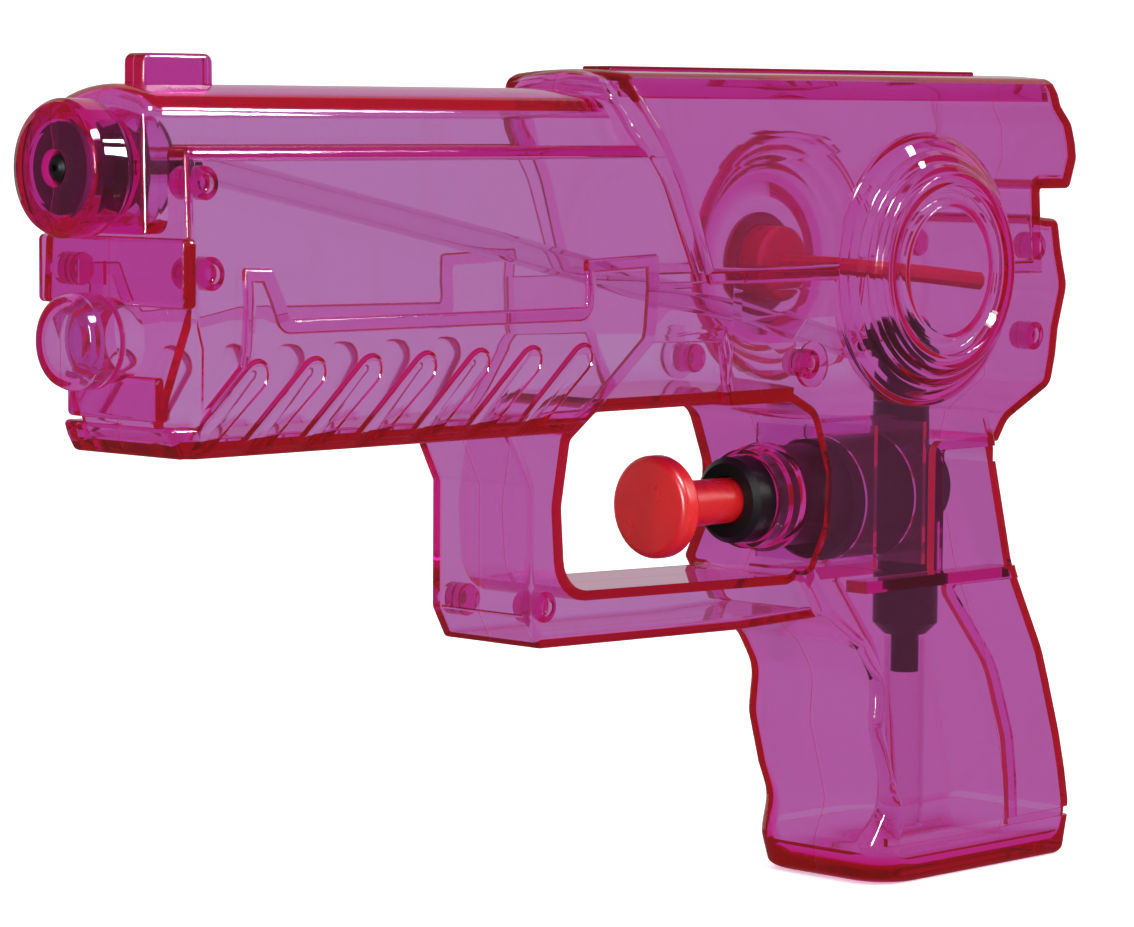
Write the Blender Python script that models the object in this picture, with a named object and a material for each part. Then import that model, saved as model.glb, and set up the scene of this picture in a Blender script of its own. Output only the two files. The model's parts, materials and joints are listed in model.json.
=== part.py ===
"""Clear toy water pistol: two moulded half shells round a trigger pump, hose, nozzle and filler plug.

All sizes are millimetres from the muzzle: x is negative towards the back, y points to the gun's left and
z is the height over the bore. Each object hangs on an empty at the muzzle, which puts the origin on the
ground under the middle of the gun.
"""
import math

import bmesh
import bpy
from mathutils import Matrix, Vector

MM = 0.001

# Driving dimensions of the body
BORE_HEIGHT = 110.6      # bore axis over the grip's flat base
FRONT_X = 1.8            # front of the muzzle ring
REAR_X = -195.3          # back of the grip's foot
MUZZLE_X = -(FRONT_X + REAR_X) / 2
WALL = 1.7               # shell wall
SLIDE_WALL = 2.1         # the slide and the frame are thicker
WINDOW_WALL = 2.0        # round the finger window
GRIP_WALL = 2.3
BASE_WALL = 3.4          # foot of the grip
SEAM_GAP = 0.3           # between the two halves
RIB = 1.6                # webs inside the shell
FIT = 0.3                # between pieces that touch
FRONT_FACE = -9.0        # front face of the body under the muzzle
LEDGE_Z = 2.9            # shoulder beside the front slide
SLIDE_FOOT = -17.1       # lower edge of the rear slide
NOTCH_X = -182.7         # floor of the notch behind the slide
FORE_FOOT = -37.5        # underside of the fore-end
GUARD_HALF = 9.85        # half width of the trigger guard
PANEL_RISE = 0.8         # how far the raised side panels stand out

# Axes of the round features
LIGHT_Z = -22.3          # lamp under the muzzle
LAMP_FRONT = 0.4
BOSS_X = -154.5          # round boss on each side
BOSS_Z = -16.0
PUMP_Z = -50.5           # pump and trigger rod
INLET_X = -168.0         # suction side, straight below the pump
OUTLET_X = -166.5        # pressure side, straight above the pump

# Pump and trigger
STROKE = 11.0
HEAD_FRONT = -109.5
HEAD_RADIUS = 7.65
ROD_RADIUS = 3.45
GLAND_FRONT = -126.5
GLAND_BACK = -139.2
GLAND_RADIUS = 6.5
PUMP_RADIUS = 8.0
PUMP_BORE = 6.2
PUMP_FRONT = -137.1
PUMP_SHOULDER = -141.6   # where the gland's counterbore ends and the piston's bore begins
PUMP_FLOOR = -170.2      # end of the piston's bore
PUMP_BACK = -172.6
PUMP_RIBS = (-147.0, -158.5)
PISTON_BACK = -147.6
NECK_RADIUS = 4.4
NECK_BORE = 3.3
NECK_SEAT = 9.3          # seat in each neck, from the pump's axis
NECK_END = 13.3
VALVE_PORT = 1.1
VALVE_ROOM = 1.9
BALL_RADIUS = 1.5
BALL_LIFT = 1.2
SPRING_WIRE = 0.4        # radius of the wire
SPRING_RADIUS = 4.4
SPRING_TURNS = 7

# Water way
NOZZLE_RADIUS = 6.0
NOZZLE_FRONT = -0.9
TIP_RADIUS = 2.15
NOZZLE_BACK = -13.9
BARB_RADIUS = 0.95
BARB_BORE = 0.45
HOSE_RADIUS = 2.0
HOSE_BORE = 1.25
HOSE_FRONT = -17.2
HOSE_BACK = -159.9
ELBOW_BARB_Z = -28.5
SUCTION_RADIUS = 3.2
SUCTION_BORE = 2.5
SUCTION_END = -104.5

# Filler plug
FILLER_HOLE = 6.2
BOSS_LIP = 21.0          # lip of the round boss, from the mid-plane
BOSS_DISC = 19.4         # its sunk disc
TAIL_RADIUS = 1.45

ROUND_SIDES = 24
INNER_SIDES = 16
SEAL_SIDES = 12
GROOVE_SIDES = 16
GROOVE_STEPS = 3
CORNER_STEPS = 2
GRIP_STEP = 3.0          # between the grip's sections

for old in list(bpy.data.objects):
    bpy.data.objects.remove(old)

muzzle = bpy.data.objects.new("muzzle", None)
muzzle.location = Vector((MUZZLE_X, 0, BORE_HEIGHT)) * MM
bpy.context.collection.objects.link(muzzle)


# Outlines

def is_outer(corners, i):
    """Whether an outline's corner points outwards; outlines run anticlockwise seen from the gun's right."""
    before, here, after = (Vector(corners[(i + k) % len(corners)][:2]) for k in (-1, 0, 1))
    return (here - before).cross(after - here) > 0


def inset(corners, distance):
    """The same outline moved inwards, with its round corners still concentric."""
    moved = []
    for i, (x, z, radius) in enumerate(corners):
        here = Vector((x, z))
        into = (here - Vector(corners[i - 1][:2])).normalized()
        out = (Vector(corners[(i + 1) % len(corners)][:2]) - here).normalized()
        normals = Vector((-into.y, into.x)) + Vector((-out.y, out.x))
        here += normals * distance / (1 + into.dot(out))
        if radius:
            radius = max(radius + (-distance if is_outer(corners, i) else distance), 0.02)
        moved.append((here.x, here.y, radius))
    return moved


def rounded(corners, steps=CORNER_STEPS):
    """Points of an outline given as (x, z, radius) corners."""
    points = []
    for i, (x, z, radius) in enumerate(corners):
        here = Vector((x, z))
        if not radius:
            points.append(here)
            continue
        back = Vector(corners[i - 1][:2]) - here
        on = Vector(corners[(i + 1) % len(corners)][:2]) - here
        half = back.angle(on) / 2
        reach = min(radius / math.tan(half), back.length * 0.49, on.length * 0.49)
        radius = reach * math.tan(half)
        start = here + back.normalized() * reach
        end = here + on.normalized() * reach
        centre = here + (back.normalized() + on.normalized()).normalized() * radius / math.sin(half)
        first = math.atan2(*reversed(start - centre))
        turn = math.remainder(math.atan2(*reversed(end - centre)) - first, 2 * math.pi)
        for k in range(steps + 1):
            angle = first + turn * k / steps
            points.append(centre + radius * Vector((math.cos(angle), math.sin(angle))))
    return points


# Solids

def loft(name, rings, closed=False):
    """Solid through rings of equally many points, capped at its ends or closed on itself."""
    size = len(rings[0])
    verts = [Vector(point) * MM for ring in rings for point in ring]
    spans = len(rings) if closed else len(rings) - 1
    faces = []
    for r in range(spans):
        near, far = r * size, (r + 1) % len(rings) * size
        for k in range(size):
            n = (k + 1) % size
            faces.append((near + k, near + n, far + n, far + k))
    if not closed:
        faces.append(tuple(range(size)))
        faces.append(tuple(range((len(rings) - 1) * size, len(rings) * size)))
    mesh = bpy.data.meshes.new(name)
    mesh.from_pydata(verts, [], faces)
    solid = bpy.data.objects.new(name, mesh)
    bpy.context.collection.objects.link(solid)
    edit(solid, lambda bm: bmesh.ops.recalc_face_normals(bm, faces=bm.faces))
    return solid


def edit(solid, change):
    bm = bmesh.new()
    bm.from_mesh(solid.data)
    change(bm)
    bm.to_mesh(solid.data)
    bm.free()


def turned(name, profile, centre, axis, closed=False, sides=ROUND_SIDES):
    """Solid turned about an axis from (along, radius) points; a closed profile keeps its bore open."""
    rings = []
    for along, radius in profile:
        ring = []
        for k in range(sides):
            angle = 2 * math.pi * (k + 0.5) / sides
            u, v = radius * math.cos(angle), radius * math.sin(angle)
            point = {"x": (along, u, v), "y": (v, along, u), "z": (u, v, along)}[axis]
            ring.append(Vector(point) + Vector(centre))
        rings.append(ring)
    return loft(name, rings, closed)


def width_at(widths, z):
    """Half width at a height, between the (z, half width) pairs, which run from the top down."""
    for (z0, w0), (z1, w1) in zip(widths, widths[1:]):
        if z >= z1:
            return w0 + (w1 - w0) * min(1, (z0 - z) / (z0 - z1))
    return widths[-1][1]


def slab(name, corners, widths, edge=0.0, crown=0.0, steps=CORNER_STEPS):
    """Side outline as thick as its width at each height, with round edges and an arched top."""
    reference = max(w for _, w in widths)
    top = max(z for _, z, _ in corners)
    stations = [(reference, 0.0)]
    if edge:
        stations = [(reference - edge * (1 - math.sin(a)), edge * (1 - math.cos(a)))
                    for a in (0.0, math.pi / 4, math.pi / 2)]
    middle = [(reference * k / 3, 0.0) for k in (-2, -1, 0, 1, 2)] if crown else []
    ordered = [(-y, d) for y, d in reversed(stations)] + middle + stations
    solid = loft(name, [[(p.x, y, p.y) for p in rounded(inset(corners, d) if d else corners, steps)]
                        for y, d in ordered])

    def shape(bm):
        for z, _ in widths[1:-1]:
            bmesh.ops.bisect_plane(bm, geom=bm.verts[:] + bm.edges[:] + bm.faces[:], dist=1e-7,
                                   plane_co=Vector((0, 0, z)) * MM, plane_no=(0, 0, 1))
        for vert in bm.verts:
            across = vert.co.y / (reference * MM)
            z = vert.co.z / MM
            vert.co.y *= width_at(widths, z) / reference
            if crown and z > top - 3 * WALL:
                vert.co.z += crown * MM * (1 - across * across)
    edit(solid, shape)
    return solid


def box(name, low, high):
    (x0, y0, z0), (x1, y1, z1) = low, high
    rings = [[(x0, y, z0), (x1, y, z0), (x1, y, z1), (x0, y, z1)] for y in (y0, y1)]
    return loft(name, rings)


def combine(operation, base, others):
    """Boolean of closed solids; the shell's many grazing faces defeat the exact solver."""
    for other in others:
        modifier = base.modifiers.new("combine", "BOOLEAN")
        modifier.operation = operation
        modifier.solver = "MANIFOLD"
        modifier.object = other
        base.data = bpy.data.meshes.new_from_object(
            base.evaluated_get(bpy.context.evaluated_depsgraph_get()))
        base.modifiers.clear()
        bpy.data.objects.remove(other)
    return base


def join(base, *others):
    return combine("UNION", base, others)


def cut(base, *others):
    return combine("DIFFERENCE", base, others)


def common(base, other):
    return combine("INTERSECT", base, [other])


def copy_of(solid):
    twin = solid.copy()
    twin.data = solid.data.copy()
    bpy.context.collection.objects.link(twin)
    return twin


def finish(solid, name, colour, roughness, metallic=0.0, alpha=1.0, origin=(0, 0, 0)):
    """Name a piece, give it its material and hang it on the muzzle empty, with its origin where it moves."""
    solid.name = name
    solid.data.name = name

    def tidy(bm):
        bmesh.ops.remove_doubles(bm, verts=bm.verts, dist=2e-6)
        bmesh.ops.dissolve_limit(bm, angle_limit=math.radians(0.2), verts=bm.verts, edges=bm.edges)
    edit(solid, tidy)
    material = bpy.data.materials.new(name)
    material.use_nodes = True
    shader = material.node_tree.nodes["Principled BSDF"]
    shader.inputs["Base Color"].default_value = (*colour, 1)
    shader.inputs["Roughness"].default_value = roughness
    shader.inputs["Metallic"].default_value = metallic
    shader.inputs["Alpha"].default_value = alpha
    solid.data.materials.clear()
    solid.data.materials.append(material)
    solid.data.shade_smooth()
    solid.data.set_sharp_from_angle(angle=math.radians(35))
    solid.data.transform(Matrix.Translation(-Vector(origin) * MM))
    solid.location = Vector(origin) * MM
    solid.parent = muzzle
    return solid


# Colours from the photograph, as linear values
MAGENTA = (0.41, 0.06, 0.36)
RED = (0.58, 0.015, 0.02)
BLACK = (0.012, 0.011, 0.012)
RUBBER = (0.02, 0.02, 0.02)
STEEL = (0.55, 0.55, 0.56)
CLEAR = (0.85, 0.82, 0.84)


# The shell's side outlines, each with its half widths from the top down

FORE = [(FRONT_FACE, LEDGE_Z, 1.2), (-116, LEDGE_Z, 0), (-116, -34.6, 0), (-87.2, -34.6, 1.5),
        (-82.4, FORE_FOOT, 1.5), (-11.0, FORE_FOOT, 1.2), (FRONT_FACE, -33.0, 0.8)]
FORE_WIDTHS = [(LEDGE_Z, 13.7), (-17, 14.8), (-23, 14.4), (FORE_FOOT, 11.0)]

NOSE = [(-5.6, 8.8, 3.0), (-110, 8.8, 0), (-110, -8.4, 0), (-5.6, -8.4, 0)]
NOSE_WIDTHS = [(8.8, 9.9), (-8.4, 10.3)]

# The slide's front edge leans back in a slight curve; the collar is the step in front of the rear slide
COLLAR = [(-87.5, 13.0, 3.0), (-125, 13.0, 0), (-125, SLIDE_FOOT, 0), (-103.4, SLIDE_FOOT, 0.8),
          (-97.0, -2.2, 14), (-91.5, 4.8, 10)]
COLLAR_WIDTHS = [(13.0, 5.6), (12.6, 7.6), (11.6, 9.6), (10.0, 11.3), (7.5, 12.7), (LEDGE_Z, 13.9),
                 (SLIDE_FOOT, 15.2)]
SLIDE = [(-90.5, 13.1, 1.5), (-189.1, 13.1, 0.8), (-189.7, 9.0, 1.2), (-191.8, 6.2, 3.0), (-192.2, 0.6, 3.0),
         (-190.2, -4.0, 1.2), (NOTCH_X, -4.0, 0.6), (NOTCH_X, SLIDE_FOOT, 0), (-105.6, SLIDE_FOOT, 0.8),
         (-100.2, -2.6, 14), (-95.6, 5.4, 10)]
SLIDE_WIDTHS = [(13.1, 11.2), (12.3, 12.2), (10.8, 13.0), (LEDGE_Z, 14.6), (SLIDE_FOOT, 15.7)]

# Frame over the trigger, whose front edge carries on down from the collar, then the grip with the pump in it
FRAME = [(-102.3, -6, 0), (NOTCH_X, -6, 0), (NOTCH_X, -8.3, 0.6), (-188.4, -8.8, 1.2), (-188.9, -13.5, 2),
         (-190.1, -19.6, 5), (-188.7, -26, 2), (-188.3, -35.0, 2.5), (-178.6, -40.2, 3.5), (-177.0, -43.5, 0),
         (-120, -43.5, 0), (-120, -39.5, 0), (-114.5, -39.5, 0)]
FRAME_WIDTHS = [(-6, 14.1), (-18.5, 15.0), (-30, 14.2), (-43.5, 12.0)]
GRIP = [(-122, -32, 0), (-172, -32, 0), (-176.2, -45, 4), (-181.4, -64, 20), (-188.0, -77, 20),
        (-192.5, -91, 20), (REAR_X, -102.5, 4), (-193.6, -113, 0), (-149.7, -113, 0),
        (-148.3, -104.6, 4), (-149.0, -98.7, 5), (-143.9, -85.5, 6), (-144.7, -78.5, 6), (-141.1, -73, 4),
        (-133.2, -67.6, 2.5), (-130.5, -60, 0), (-122, -57, 0)]
GRIP_TOP = -36.0         # inside the frame
GRIP_FRONT_CORNER = 4.0  # radius of its upright edges
GRIP_BACK_CORNER = 1.6
GRIP_EDGE = 1.4          # round edge of its foot, more so at the toe than at the heel
TOE_SHARE = 1.7
HEEL_SHARE = 0.5
GRIP_WIDTHS = [(-32, 13.0), (-40, 12.9), (-62, 12.8), (-82, 13.5), (-97, 13.7), (-BORE_HEIGHT, 13.0)]

GUARD = [(-70.5, -30, 0), (-144, -30, 0), (-144, -68, 0), (-119, -68.6, 0), (-77.3, -67.8, 0.8),
         (-74.8, -63.2, 0.8), (-74.8, -45, 0.8), (-70.4, -36.5, 0)]
GUARD_WIDTHS = [(-30, GUARD_HALF), (-70, GUARD_HALF)]

WINDOW = [(-83, -38.6, 1.5), (-88.2, -34.9, 1.5), (-126, -34.9, 3), (-132, -37.6, 4), (-135.3, -46, 6),
          (-134.9, -54, 6), (-130.8, -61.2, 2), (-86, -61.2, 3.5), (-82.4, -57.5, 3.5), (-81.3, -48, 6)]

# Each part of the shell with its outline, widths, round edge, crown and wall
SHELL_SLABS = [("fore", FORE, FORE_WIDTHS, 1.0, 0.0, WALL), ("nose", NOSE, NOSE_WIDTHS, 2.2, 2.1, WALL),
               ("collar", COLLAR, COLLAR_WIDTHS, 0.7, 0.6, WALL),
               ("slide", SLIDE, SLIDE_WIDTHS, 0.7, 0.6, SLIDE_WALL),
               ("frame", FRAME, FRAME_WIDTHS, 1.0, 0.0, SLIDE_WALL),
               ("guard", GUARD, GUARD_WIDTHS, 0.6, 0.0, WALL)]


def wider(widths, by):
    return [(z, w + by) for z, w in widths]


def span_at(points, z):
    """Front and back of an outline at a height."""
    places = []
    for a, b in zip(points, points[1:] + points[:1]):
        if (a.y - z) * (b.y - z) <= 0 and a.y != b.y:
            places.append(a.x + (b.x - a.x) * (z - a.y) / (b.y - a.y))
    return max(places), min(places)


def grip(shrink=0.0, floor=-BORE_HEIGHT):
    """Sections with round corners, stacked from inside the frame down to the foot."""
    outline = rounded(inset(GRIP, shrink) if shrink else GRIP)
    edge = max(GRIP_EDGE - shrink, 0.4)
    fore, aft = (max(radius - shrink, 0.3) for radius in (GRIP_FRONT_CORNER, GRIP_BACK_CORNER))
    count = round((GRIP_TOP - floor - edge) / GRIP_STEP)
    levels = [(GRIP_TOP + (floor + edge - GRIP_TOP) * k / count, 0.0) for k in range(count)]
    levels += [(floor + edge * (1 - math.sin(a)), edge * (1 - math.cos(a)))
               for a in (0.0, math.pi / 4, math.pi / 2)]
    rings = []
    for z, less in levels:
        front, back = span_at(outline, z)
        side = width_at(GRIP_WIDTHS, z) - shrink - less
        toe, heel = front - less * TOE_SHARE, back + less * HEEL_SHARE
        plan = [(toe, -side, fore), (toe, side, fore), (heel, side, aft), (heel, -side, aft)]
        rings.append([(p.x, p.y, z) for p in rounded(plan)])
    return loft("grip", rings)


def outer_body():
    fore, *rest = [slab(*row[:5]) for row in SHELL_SLABS]
    fore = cut(join(fore, side_panel()), front_chamfer(1), front_chamfer(-1))
    return join(fore, *rest, grip())


def inner_space():
    """The tank: every part again, one wall smaller all round, with its tight corners left square."""
    solids = []
    for name, corners, widths, edge, crown, wall in SHELL_SLABS:
        smaller = [(x, z, r if r > 0.8 else 0) for x, z, r in inset(corners, wall)]
        solids.append(slab(name, smaller, wider(widths, -wall), max(edge - wall, 0), crown, steps=1))
    fore = cut(solids[0], front_chamfer(1, WALL), front_chamfer(-1, WALL))
    return join(fore, *solids[1:], grip(GRIP_WALL, BASE_WALL - BORE_HEIGHT))


def window(grow=0.0):
    wide = 40
    return slab("window", inset(WINDOW, -grow) if grow else WINDOW, [(0, wide), (-90, wide)])


# Round features of the shell

def muzzle_rings():
    front = [(FRONT_X - 0.4, 3.4), (FRONT_X, 4.8), (FRONT_X, 7.2), (1.3, 8.4), (0.2, 9.0), (-3.6, 9.0),
             (-4.6, 8.3), (-5.2, 7.6), (-6.2, 7.6), (-6.8, 8.3), (-8.4, 8.3), (-9.4, 7.6), (-14, 7.6)]
    return turned("muzzle_rings", front, (0, 0, 0), "x")


def lamp(shrink=0.0):
    radius = 6.3 - shrink
    front = LAMP_FRONT - shrink
    profile = [(front, radius - 1.6), (front - 0.5, radius - 0.5), (front - 1.6, radius), (-5.0, radius),
               (-5.6, radius - 0.7), (-16, radius - 0.7)]
    return turned("lamp", profile, (0, 0, LIGHT_Z), "x")


def side_boss(side, shrink=0.0):
    profile = [(8, 21.0), (15.4, 21.0), (16.2, 20.4), (16.8, 18.2), (18.6, 17.4), (19.2, 15.6),
               (BOSS_LIP - 0.8, 15.0), (BOSS_LIP, 14.2), (BOSS_LIP, 12.0), (BOSS_DISC, 10.4)]
    if shrink:
        profile = [(8, 19.2), (14.0, 19.2), (15.2, 16.4), (17.2, 15.4), (BOSS_DISC - shrink, 12.8)]
    return turned("boss", [(side * y, r) for y, r in profile], (BOSS_X, 0, BOSS_Z), "y")


def sight():
    corners = [(-11.8, 9, 0), (-11.8, 14.9, 1.2), (-23.7, 14.9, 1.2), (-23.7, 9, 0)]
    return slab("sight", corners, [(15, 2.1), (9, 2.2)], 0.6)


def gland_collar():
    profile = [(-136.2, 8.6), (-135.0, 8.6), (-134.4, 8.0), (-132.9, 8.0), (-132.4, 7.5), (-130.4, 7.5)]
    return turned("gland_collar", profile, (0, 0, PUMP_Z), "x")


def bore_x(name, x0, x1, radius, z=0.0):
    return turned(name, [(x0, radius), (x1, radius)], (0, 0, z), "x")


def rib(name, x, z_low, z_high, reach):
    """Web across the tank that carries a piece, before the room for that piece is cut out of it."""
    return box(name, (x - RIB / 2, -reach, z_low), (x + RIB / 2, reach, z_high))


# Plates that stand out from the shell
FRONT_PLATE = [(-7.7, -8.8, 0.8), (-10.0, -8.8, 0.8), (-10.0, -17.8, 0.8), (-7.7, -17.8, 0.8)]
FRONT_PLATE_HALF = 15.0
CHIN_PLATE = [(-7.9, -26.8, 0.8), (-10.4, -26.8, 0), (-10.4, -32.6, 0), (-7.9, -32.6, 0.8)]
CHIN_PLATE_HALF = 9.3
CHIN_FOOT = [(-8.8, -33.2, 0.6), (-26, -33.2, 0), (-26, -37.4, 0), (-10.4, -37.4, 1.0), (-9.3, -35.2, 1.0)]
CHIN_FOOT_WIDTHS = [(-33.2, 11.4), (-37.4, 11.0)]
TAB = ((-8.5, -5.8, -15.1), (-7.2, -0.6, -12.0))
BAND = [(-94.5, -16.5, 0), (-111.5, -16.5, 0), (-111.5, -25.6, 0), (-94.5, -25.1, 0)]
BAND_RISE = 0.4
TOP_RIB = [(-98, 12, 0), (-98, 14.2, 0.3), (-180.5, 14.2, 0.3), (-180.5, 12, 0)]
TOP_RIB_HALF = 3.0

# Rooms sunk into both sides, each with its depth
SIDE_REACH = [(20, 30, 0), (-210, 30, 0), (-210, -120, 0), (20, -120, 0)]
FRAME_POCKET = [(-112, -25.7, 0), (-124.9, -26.1, 0.6), (-127.9, -22.6, 0.6), (-136.9, -22.4, 1),
                (-140.0, -27.3, 2), (-147.5, -35.2, 0), (-112, -35.2, 0)]
FRAME_POCKET_DEPTH = 0.6
GRIP_POCKET = [(-162.3, -44.0, 0.6), (-190, -44.0, 0), (-190, -63.2, 0), (-162.3, -63.2, 0.8)]
GRIP_POCKET_DEPTH = 1.4
BACKSTRAP = [(-164.5, -65.2, 0.6), (-200, -65.2, 0), (-200, -103.2, 0), (-181.0, -103.2, 0),
             (-179.4, -90, 15), (-175, -77.8, 15)]
BACKSTRAP_DEPTH = 1.0
BASE_GROOVE = ((-200, -20, -104.4), (-140, 20, -103.2))
BASE_GROOVE_DEPTH = 0.5
NECK_NOTCH = ((-190, -20, -46.6), (-176.0, 20, -44.4))
PIN_RIM = (-129.8, -29.5, 3.4)


def plate(name, corners, half, edge):
    return slab(name, corners, [(20, half), (-BORE_HEIGHT, half)], edge)


def plates():
    return [plate("front_plate", FRONT_PLATE, FRONT_PLATE_HALF, 0.7),
            plate("chin_plate", CHIN_PLATE, CHIN_PLATE_HALF, 0.7), box("tab", *TAB),
            slab("chin_foot", CHIN_FOOT, CHIN_FOOT_WIDTHS, 0.8),
            slab("band", BAND, wider(FORE_WIDTHS, BAND_RISE), 0.3),
            plate("top_rib", TOP_RIB, TOP_RIB_HALF, 0.4)]


def sunk(name, corners, widths, depth):
    """The room inside an outline, from outside into both sides to an even depth."""
    room = slab(name, corners, [(30, 30), (-120, 30)])
    return cut(room, slab("floor", SIDE_REACH, wider(widths, -depth)))


def pockets(wall=0.0):
    """The sunk places, or with a wall the same places as the tank must keep clear of them."""
    rows = [("grip_pocket", GRIP_POCKET, GRIP_WIDTHS, GRIP_POCKET_DEPTH),
            ("backstrap", BACKSTRAP, GRIP_WIDTHS, BACKSTRAP_DEPTH)]
    if not wall:
        rows.append(("frame_pocket", FRAME_POCKET, FRAME_WIDTHS, FRAME_POCKET_DEPTH))
    return [sunk(name, inset(corners, -wall), widths, depth + wall) for name, corners, widths, depth in rows]


def base_groove():
    return cut(box("base_groove", *BASE_GROOVE), grip(BASE_GROOVE_DEPTH))


def front_chamfer(side, shrink=0.0):
    """Block that takes one lower front corner off along a slanted plane."""
    facing = Vector((0.715, side * 0.638, -0.285)).normalized()
    start = Vector((FRONT_FACE, side * 13.5, -18.9)) - facing * shrink
    u = facing.orthogonal().normalized() * 30
    v = facing.cross(u)
    corners = ((-1, -1), (1, -1), (1, 1), (-1, 1))
    return loft("chamfer", [[start + u * a + v * b + facing * d for a, b in corners] for d in (0, 30)])


def pin_rims():
    x, z, radius = PIN_RIM
    return [across("pin_rim", x, z, side * 12.8, side * 14.3, radius) for side in (1, -1)]


# Raised panel on each side of the fore-end, and the slanted grooves in it

PANEL = [(-17.7, -12.7, 0.6), (-22.5, -12.8, 0.6), (-25.7, -19.5, 0.6), (-80.8, -19.5, 0.6),
         (-80.6, -12.9, 0.6), (-95.4, -12.4, 0.6), (-95.2, -25, 0.6), (-87.5, -31.5, 0.6), (-85.5, -36.6, 0),
         (-10.8, -36.6, 0), (-10.8, -33.6, 0), (-17.7, -25.5, 0.6)]
GROOVES = 7
GROOVE_TOP = (-20.6, -27.3)
GROOVE_PITCH = 10.07
GROOVE_RUN = (11.0, -12.0)
GROOVE_RADIUS = 2.2
GROOVE_DEPTH = 1.3


def side_panel():
    return slab("panel", PANEL, wider(FORE_WIDTHS, PANEL_RISE), 0.5)


def panel_groove(i, side):
    """Slanted scoop with a round top, cut to an even depth down one side of the panel."""
    ends = []
    for k in (0, 1):
        x = GROOVE_TOP[0] - GROOVE_PITCH * i + GROOVE_RUN[0] * k
        z = GROOVE_TOP[1] + GROOVE_RUN[1] * k
        y = width_at(FORE_WIDTHS, z) + PANEL_RISE + GROOVE_RADIUS - GROOVE_DEPTH
        ends.append(Vector((x, side * y, z)))
    along = (ends[1] - ends[0]).normalized()
    out = along.cross(Vector((0, 0, 1))).normalized()
    up = out.cross(along)
    round_top = [math.pi / 2 * k / GROOVE_STEPS for k in range(1, GROOVE_STEPS)]
    rows = [(ends[0] - along * GROOVE_RADIUS * math.cos(a), GROOVE_RADIUS * math.sin(a)) for a in round_top]
    rows += [(end, GROOVE_RADIUS) for end in ends]
    turns = [2 * math.pi * (k + 0.5) / GROOVE_SIDES for k in range(GROOVE_SIDES)]
    return loft("groove", [[c + r * (out * math.cos(a) + up * math.sin(a)) for a in turns] for c, r in rows])


# Short stubs inside both walls, each with a dimple outside, as (x, z, where it ends in the wall)
STUBS = [(-12.5, -1.8, 13.0), (-13.0, -13.4, 13.6), (-78.7, -62.0, 9.0), (-129.8, -29.5, 13.0),
         (-183.0, -13.0, 14.6), (-183.0, -27.0, 13.1)]
STUB_RADIUS = 2.4
STUB_LENGTH = 4.5
DIMPLE_RADIUS = 1.8
DIMPLE_FLOOR = 0.4       # beyond the stub's end
STUB_SIDES = [(x, z, end, side) for x, z, end in STUBS for side in (1, -1)]


def across(name, x, z, y0, y1, radius, sides=12):
    """Round bar across the gun."""
    return turned(name, [(y0, radius), (y1, radius)], (x, 0, z), "y", sides=sides)


def whole_shell():
    body = outer_body()
    body = cut(body, *pockets(), base_groove(), box("neck_notch", *NECK_NOTCH),
               *[panel_groove(i, side) for i in range(GROOVES) for side in (1, -1)])
    body = join(body, *plates(), *pin_rims(), muzzle_rings(), lamp(), side_boss(1), side_boss(-1), sight())
    body = cut(body, window())
    space = join(cut(inner_space(), *pockets(WALL)), lamp(1.5), side_boss(1, WALL), side_boss(-1, WALL))
    space = cut(space, window(WINDOW_WALL), bore_x("muzzle_seat", 3, -15.5, 7.6))
    ribs = [rib("pump_rib", x, PUMP_Z - 11, PUMP_Z + 11, 11.4) for x in PUMP_RIBS]
    shell = cut(body, space)
    stubs = [across("stub", x, z, side * (end - STUB_LENGTH), side * end, STUB_RADIUS)
             for x, z, end, side in STUB_SIDES]
    shell = join(shell, *ribs, gland_collar(), *stubs)
    shell = cut(shell, *[across("dimple", x, z, side * (end + DIMPLE_FLOOR), side * 40, DIMPLE_RADIUS)
                         for x, z, end, side in STUB_SIDES])
    return cut(shell, bore_x("gland_bore", -141, -128, GLAND_RADIUS + FIT, PUMP_Z),
               bore_x("pump_bore", PUMP_FRONT + FIT, PUMP_BACK - FIT, PUMP_RADIUS + FIT, PUMP_Z),
               bore_x("nozzle_mouth", 4, -4, TIP_RADIUS + FIT),
               bore_x("nozzle_bore", NOZZLE_FRONT + FIT, NOZZLE_BACK - FIT, NOZZLE_RADIUS + FIT),
               bore_x("nozzle_tail", -10, -18, 3.0))


def half(shell, side):
    """One half of the shell, cut off at the seam."""
    low, high = sorted((side * SEAM_GAP / 2, side * 40))
    return common(copy_of(shell), box("half", (-210, low, -120), (20, high, 30)))


def right_half(shell):
    return cut(half(shell, -1), across("filler_hole", BOSS_X, BOSS_Z, -15, -25, FILLER_HOLE, ROUND_SIDES))


# Pieces inside the shell

def smooth(points, steps):
    """Points of a smooth curve through the given ones."""
    ends = [points[0] * 2 - points[1], *points, points[-1] * 2 - points[-2]]
    out = []
    for p0, p1, p2, p3 in zip(ends, ends[1:], ends[2:], ends[3:]):
        for k in range(steps):
            t = k / steps
            out.append(0.5 * (2 * p1 + (p2 - p0) * t + (2 * p0 - 5 * p1 + 4 * p2 - p3) * t * t
                              + (3 * p1 - p0 - 3 * p2 + p3) * t ** 3))
    return out + [points[-1]]


def rings_along(points, radius, sides):
    rings = []
    for i, here in enumerate(points):
        ahead = (points[min(i + 1, len(points) - 1)] - points[max(i - 1, 0)]).normalized()
        out = ahead.cross(Vector((0, 0, 1))).normalized()
        up = out.cross(ahead)
        turns = [2 * math.pi * (k + 0.5) / sides for k in range(sides)]
        rings.append([here + radius * (out * math.cos(a) + up * math.sin(a)) for a in turns])
    return rings


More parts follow.
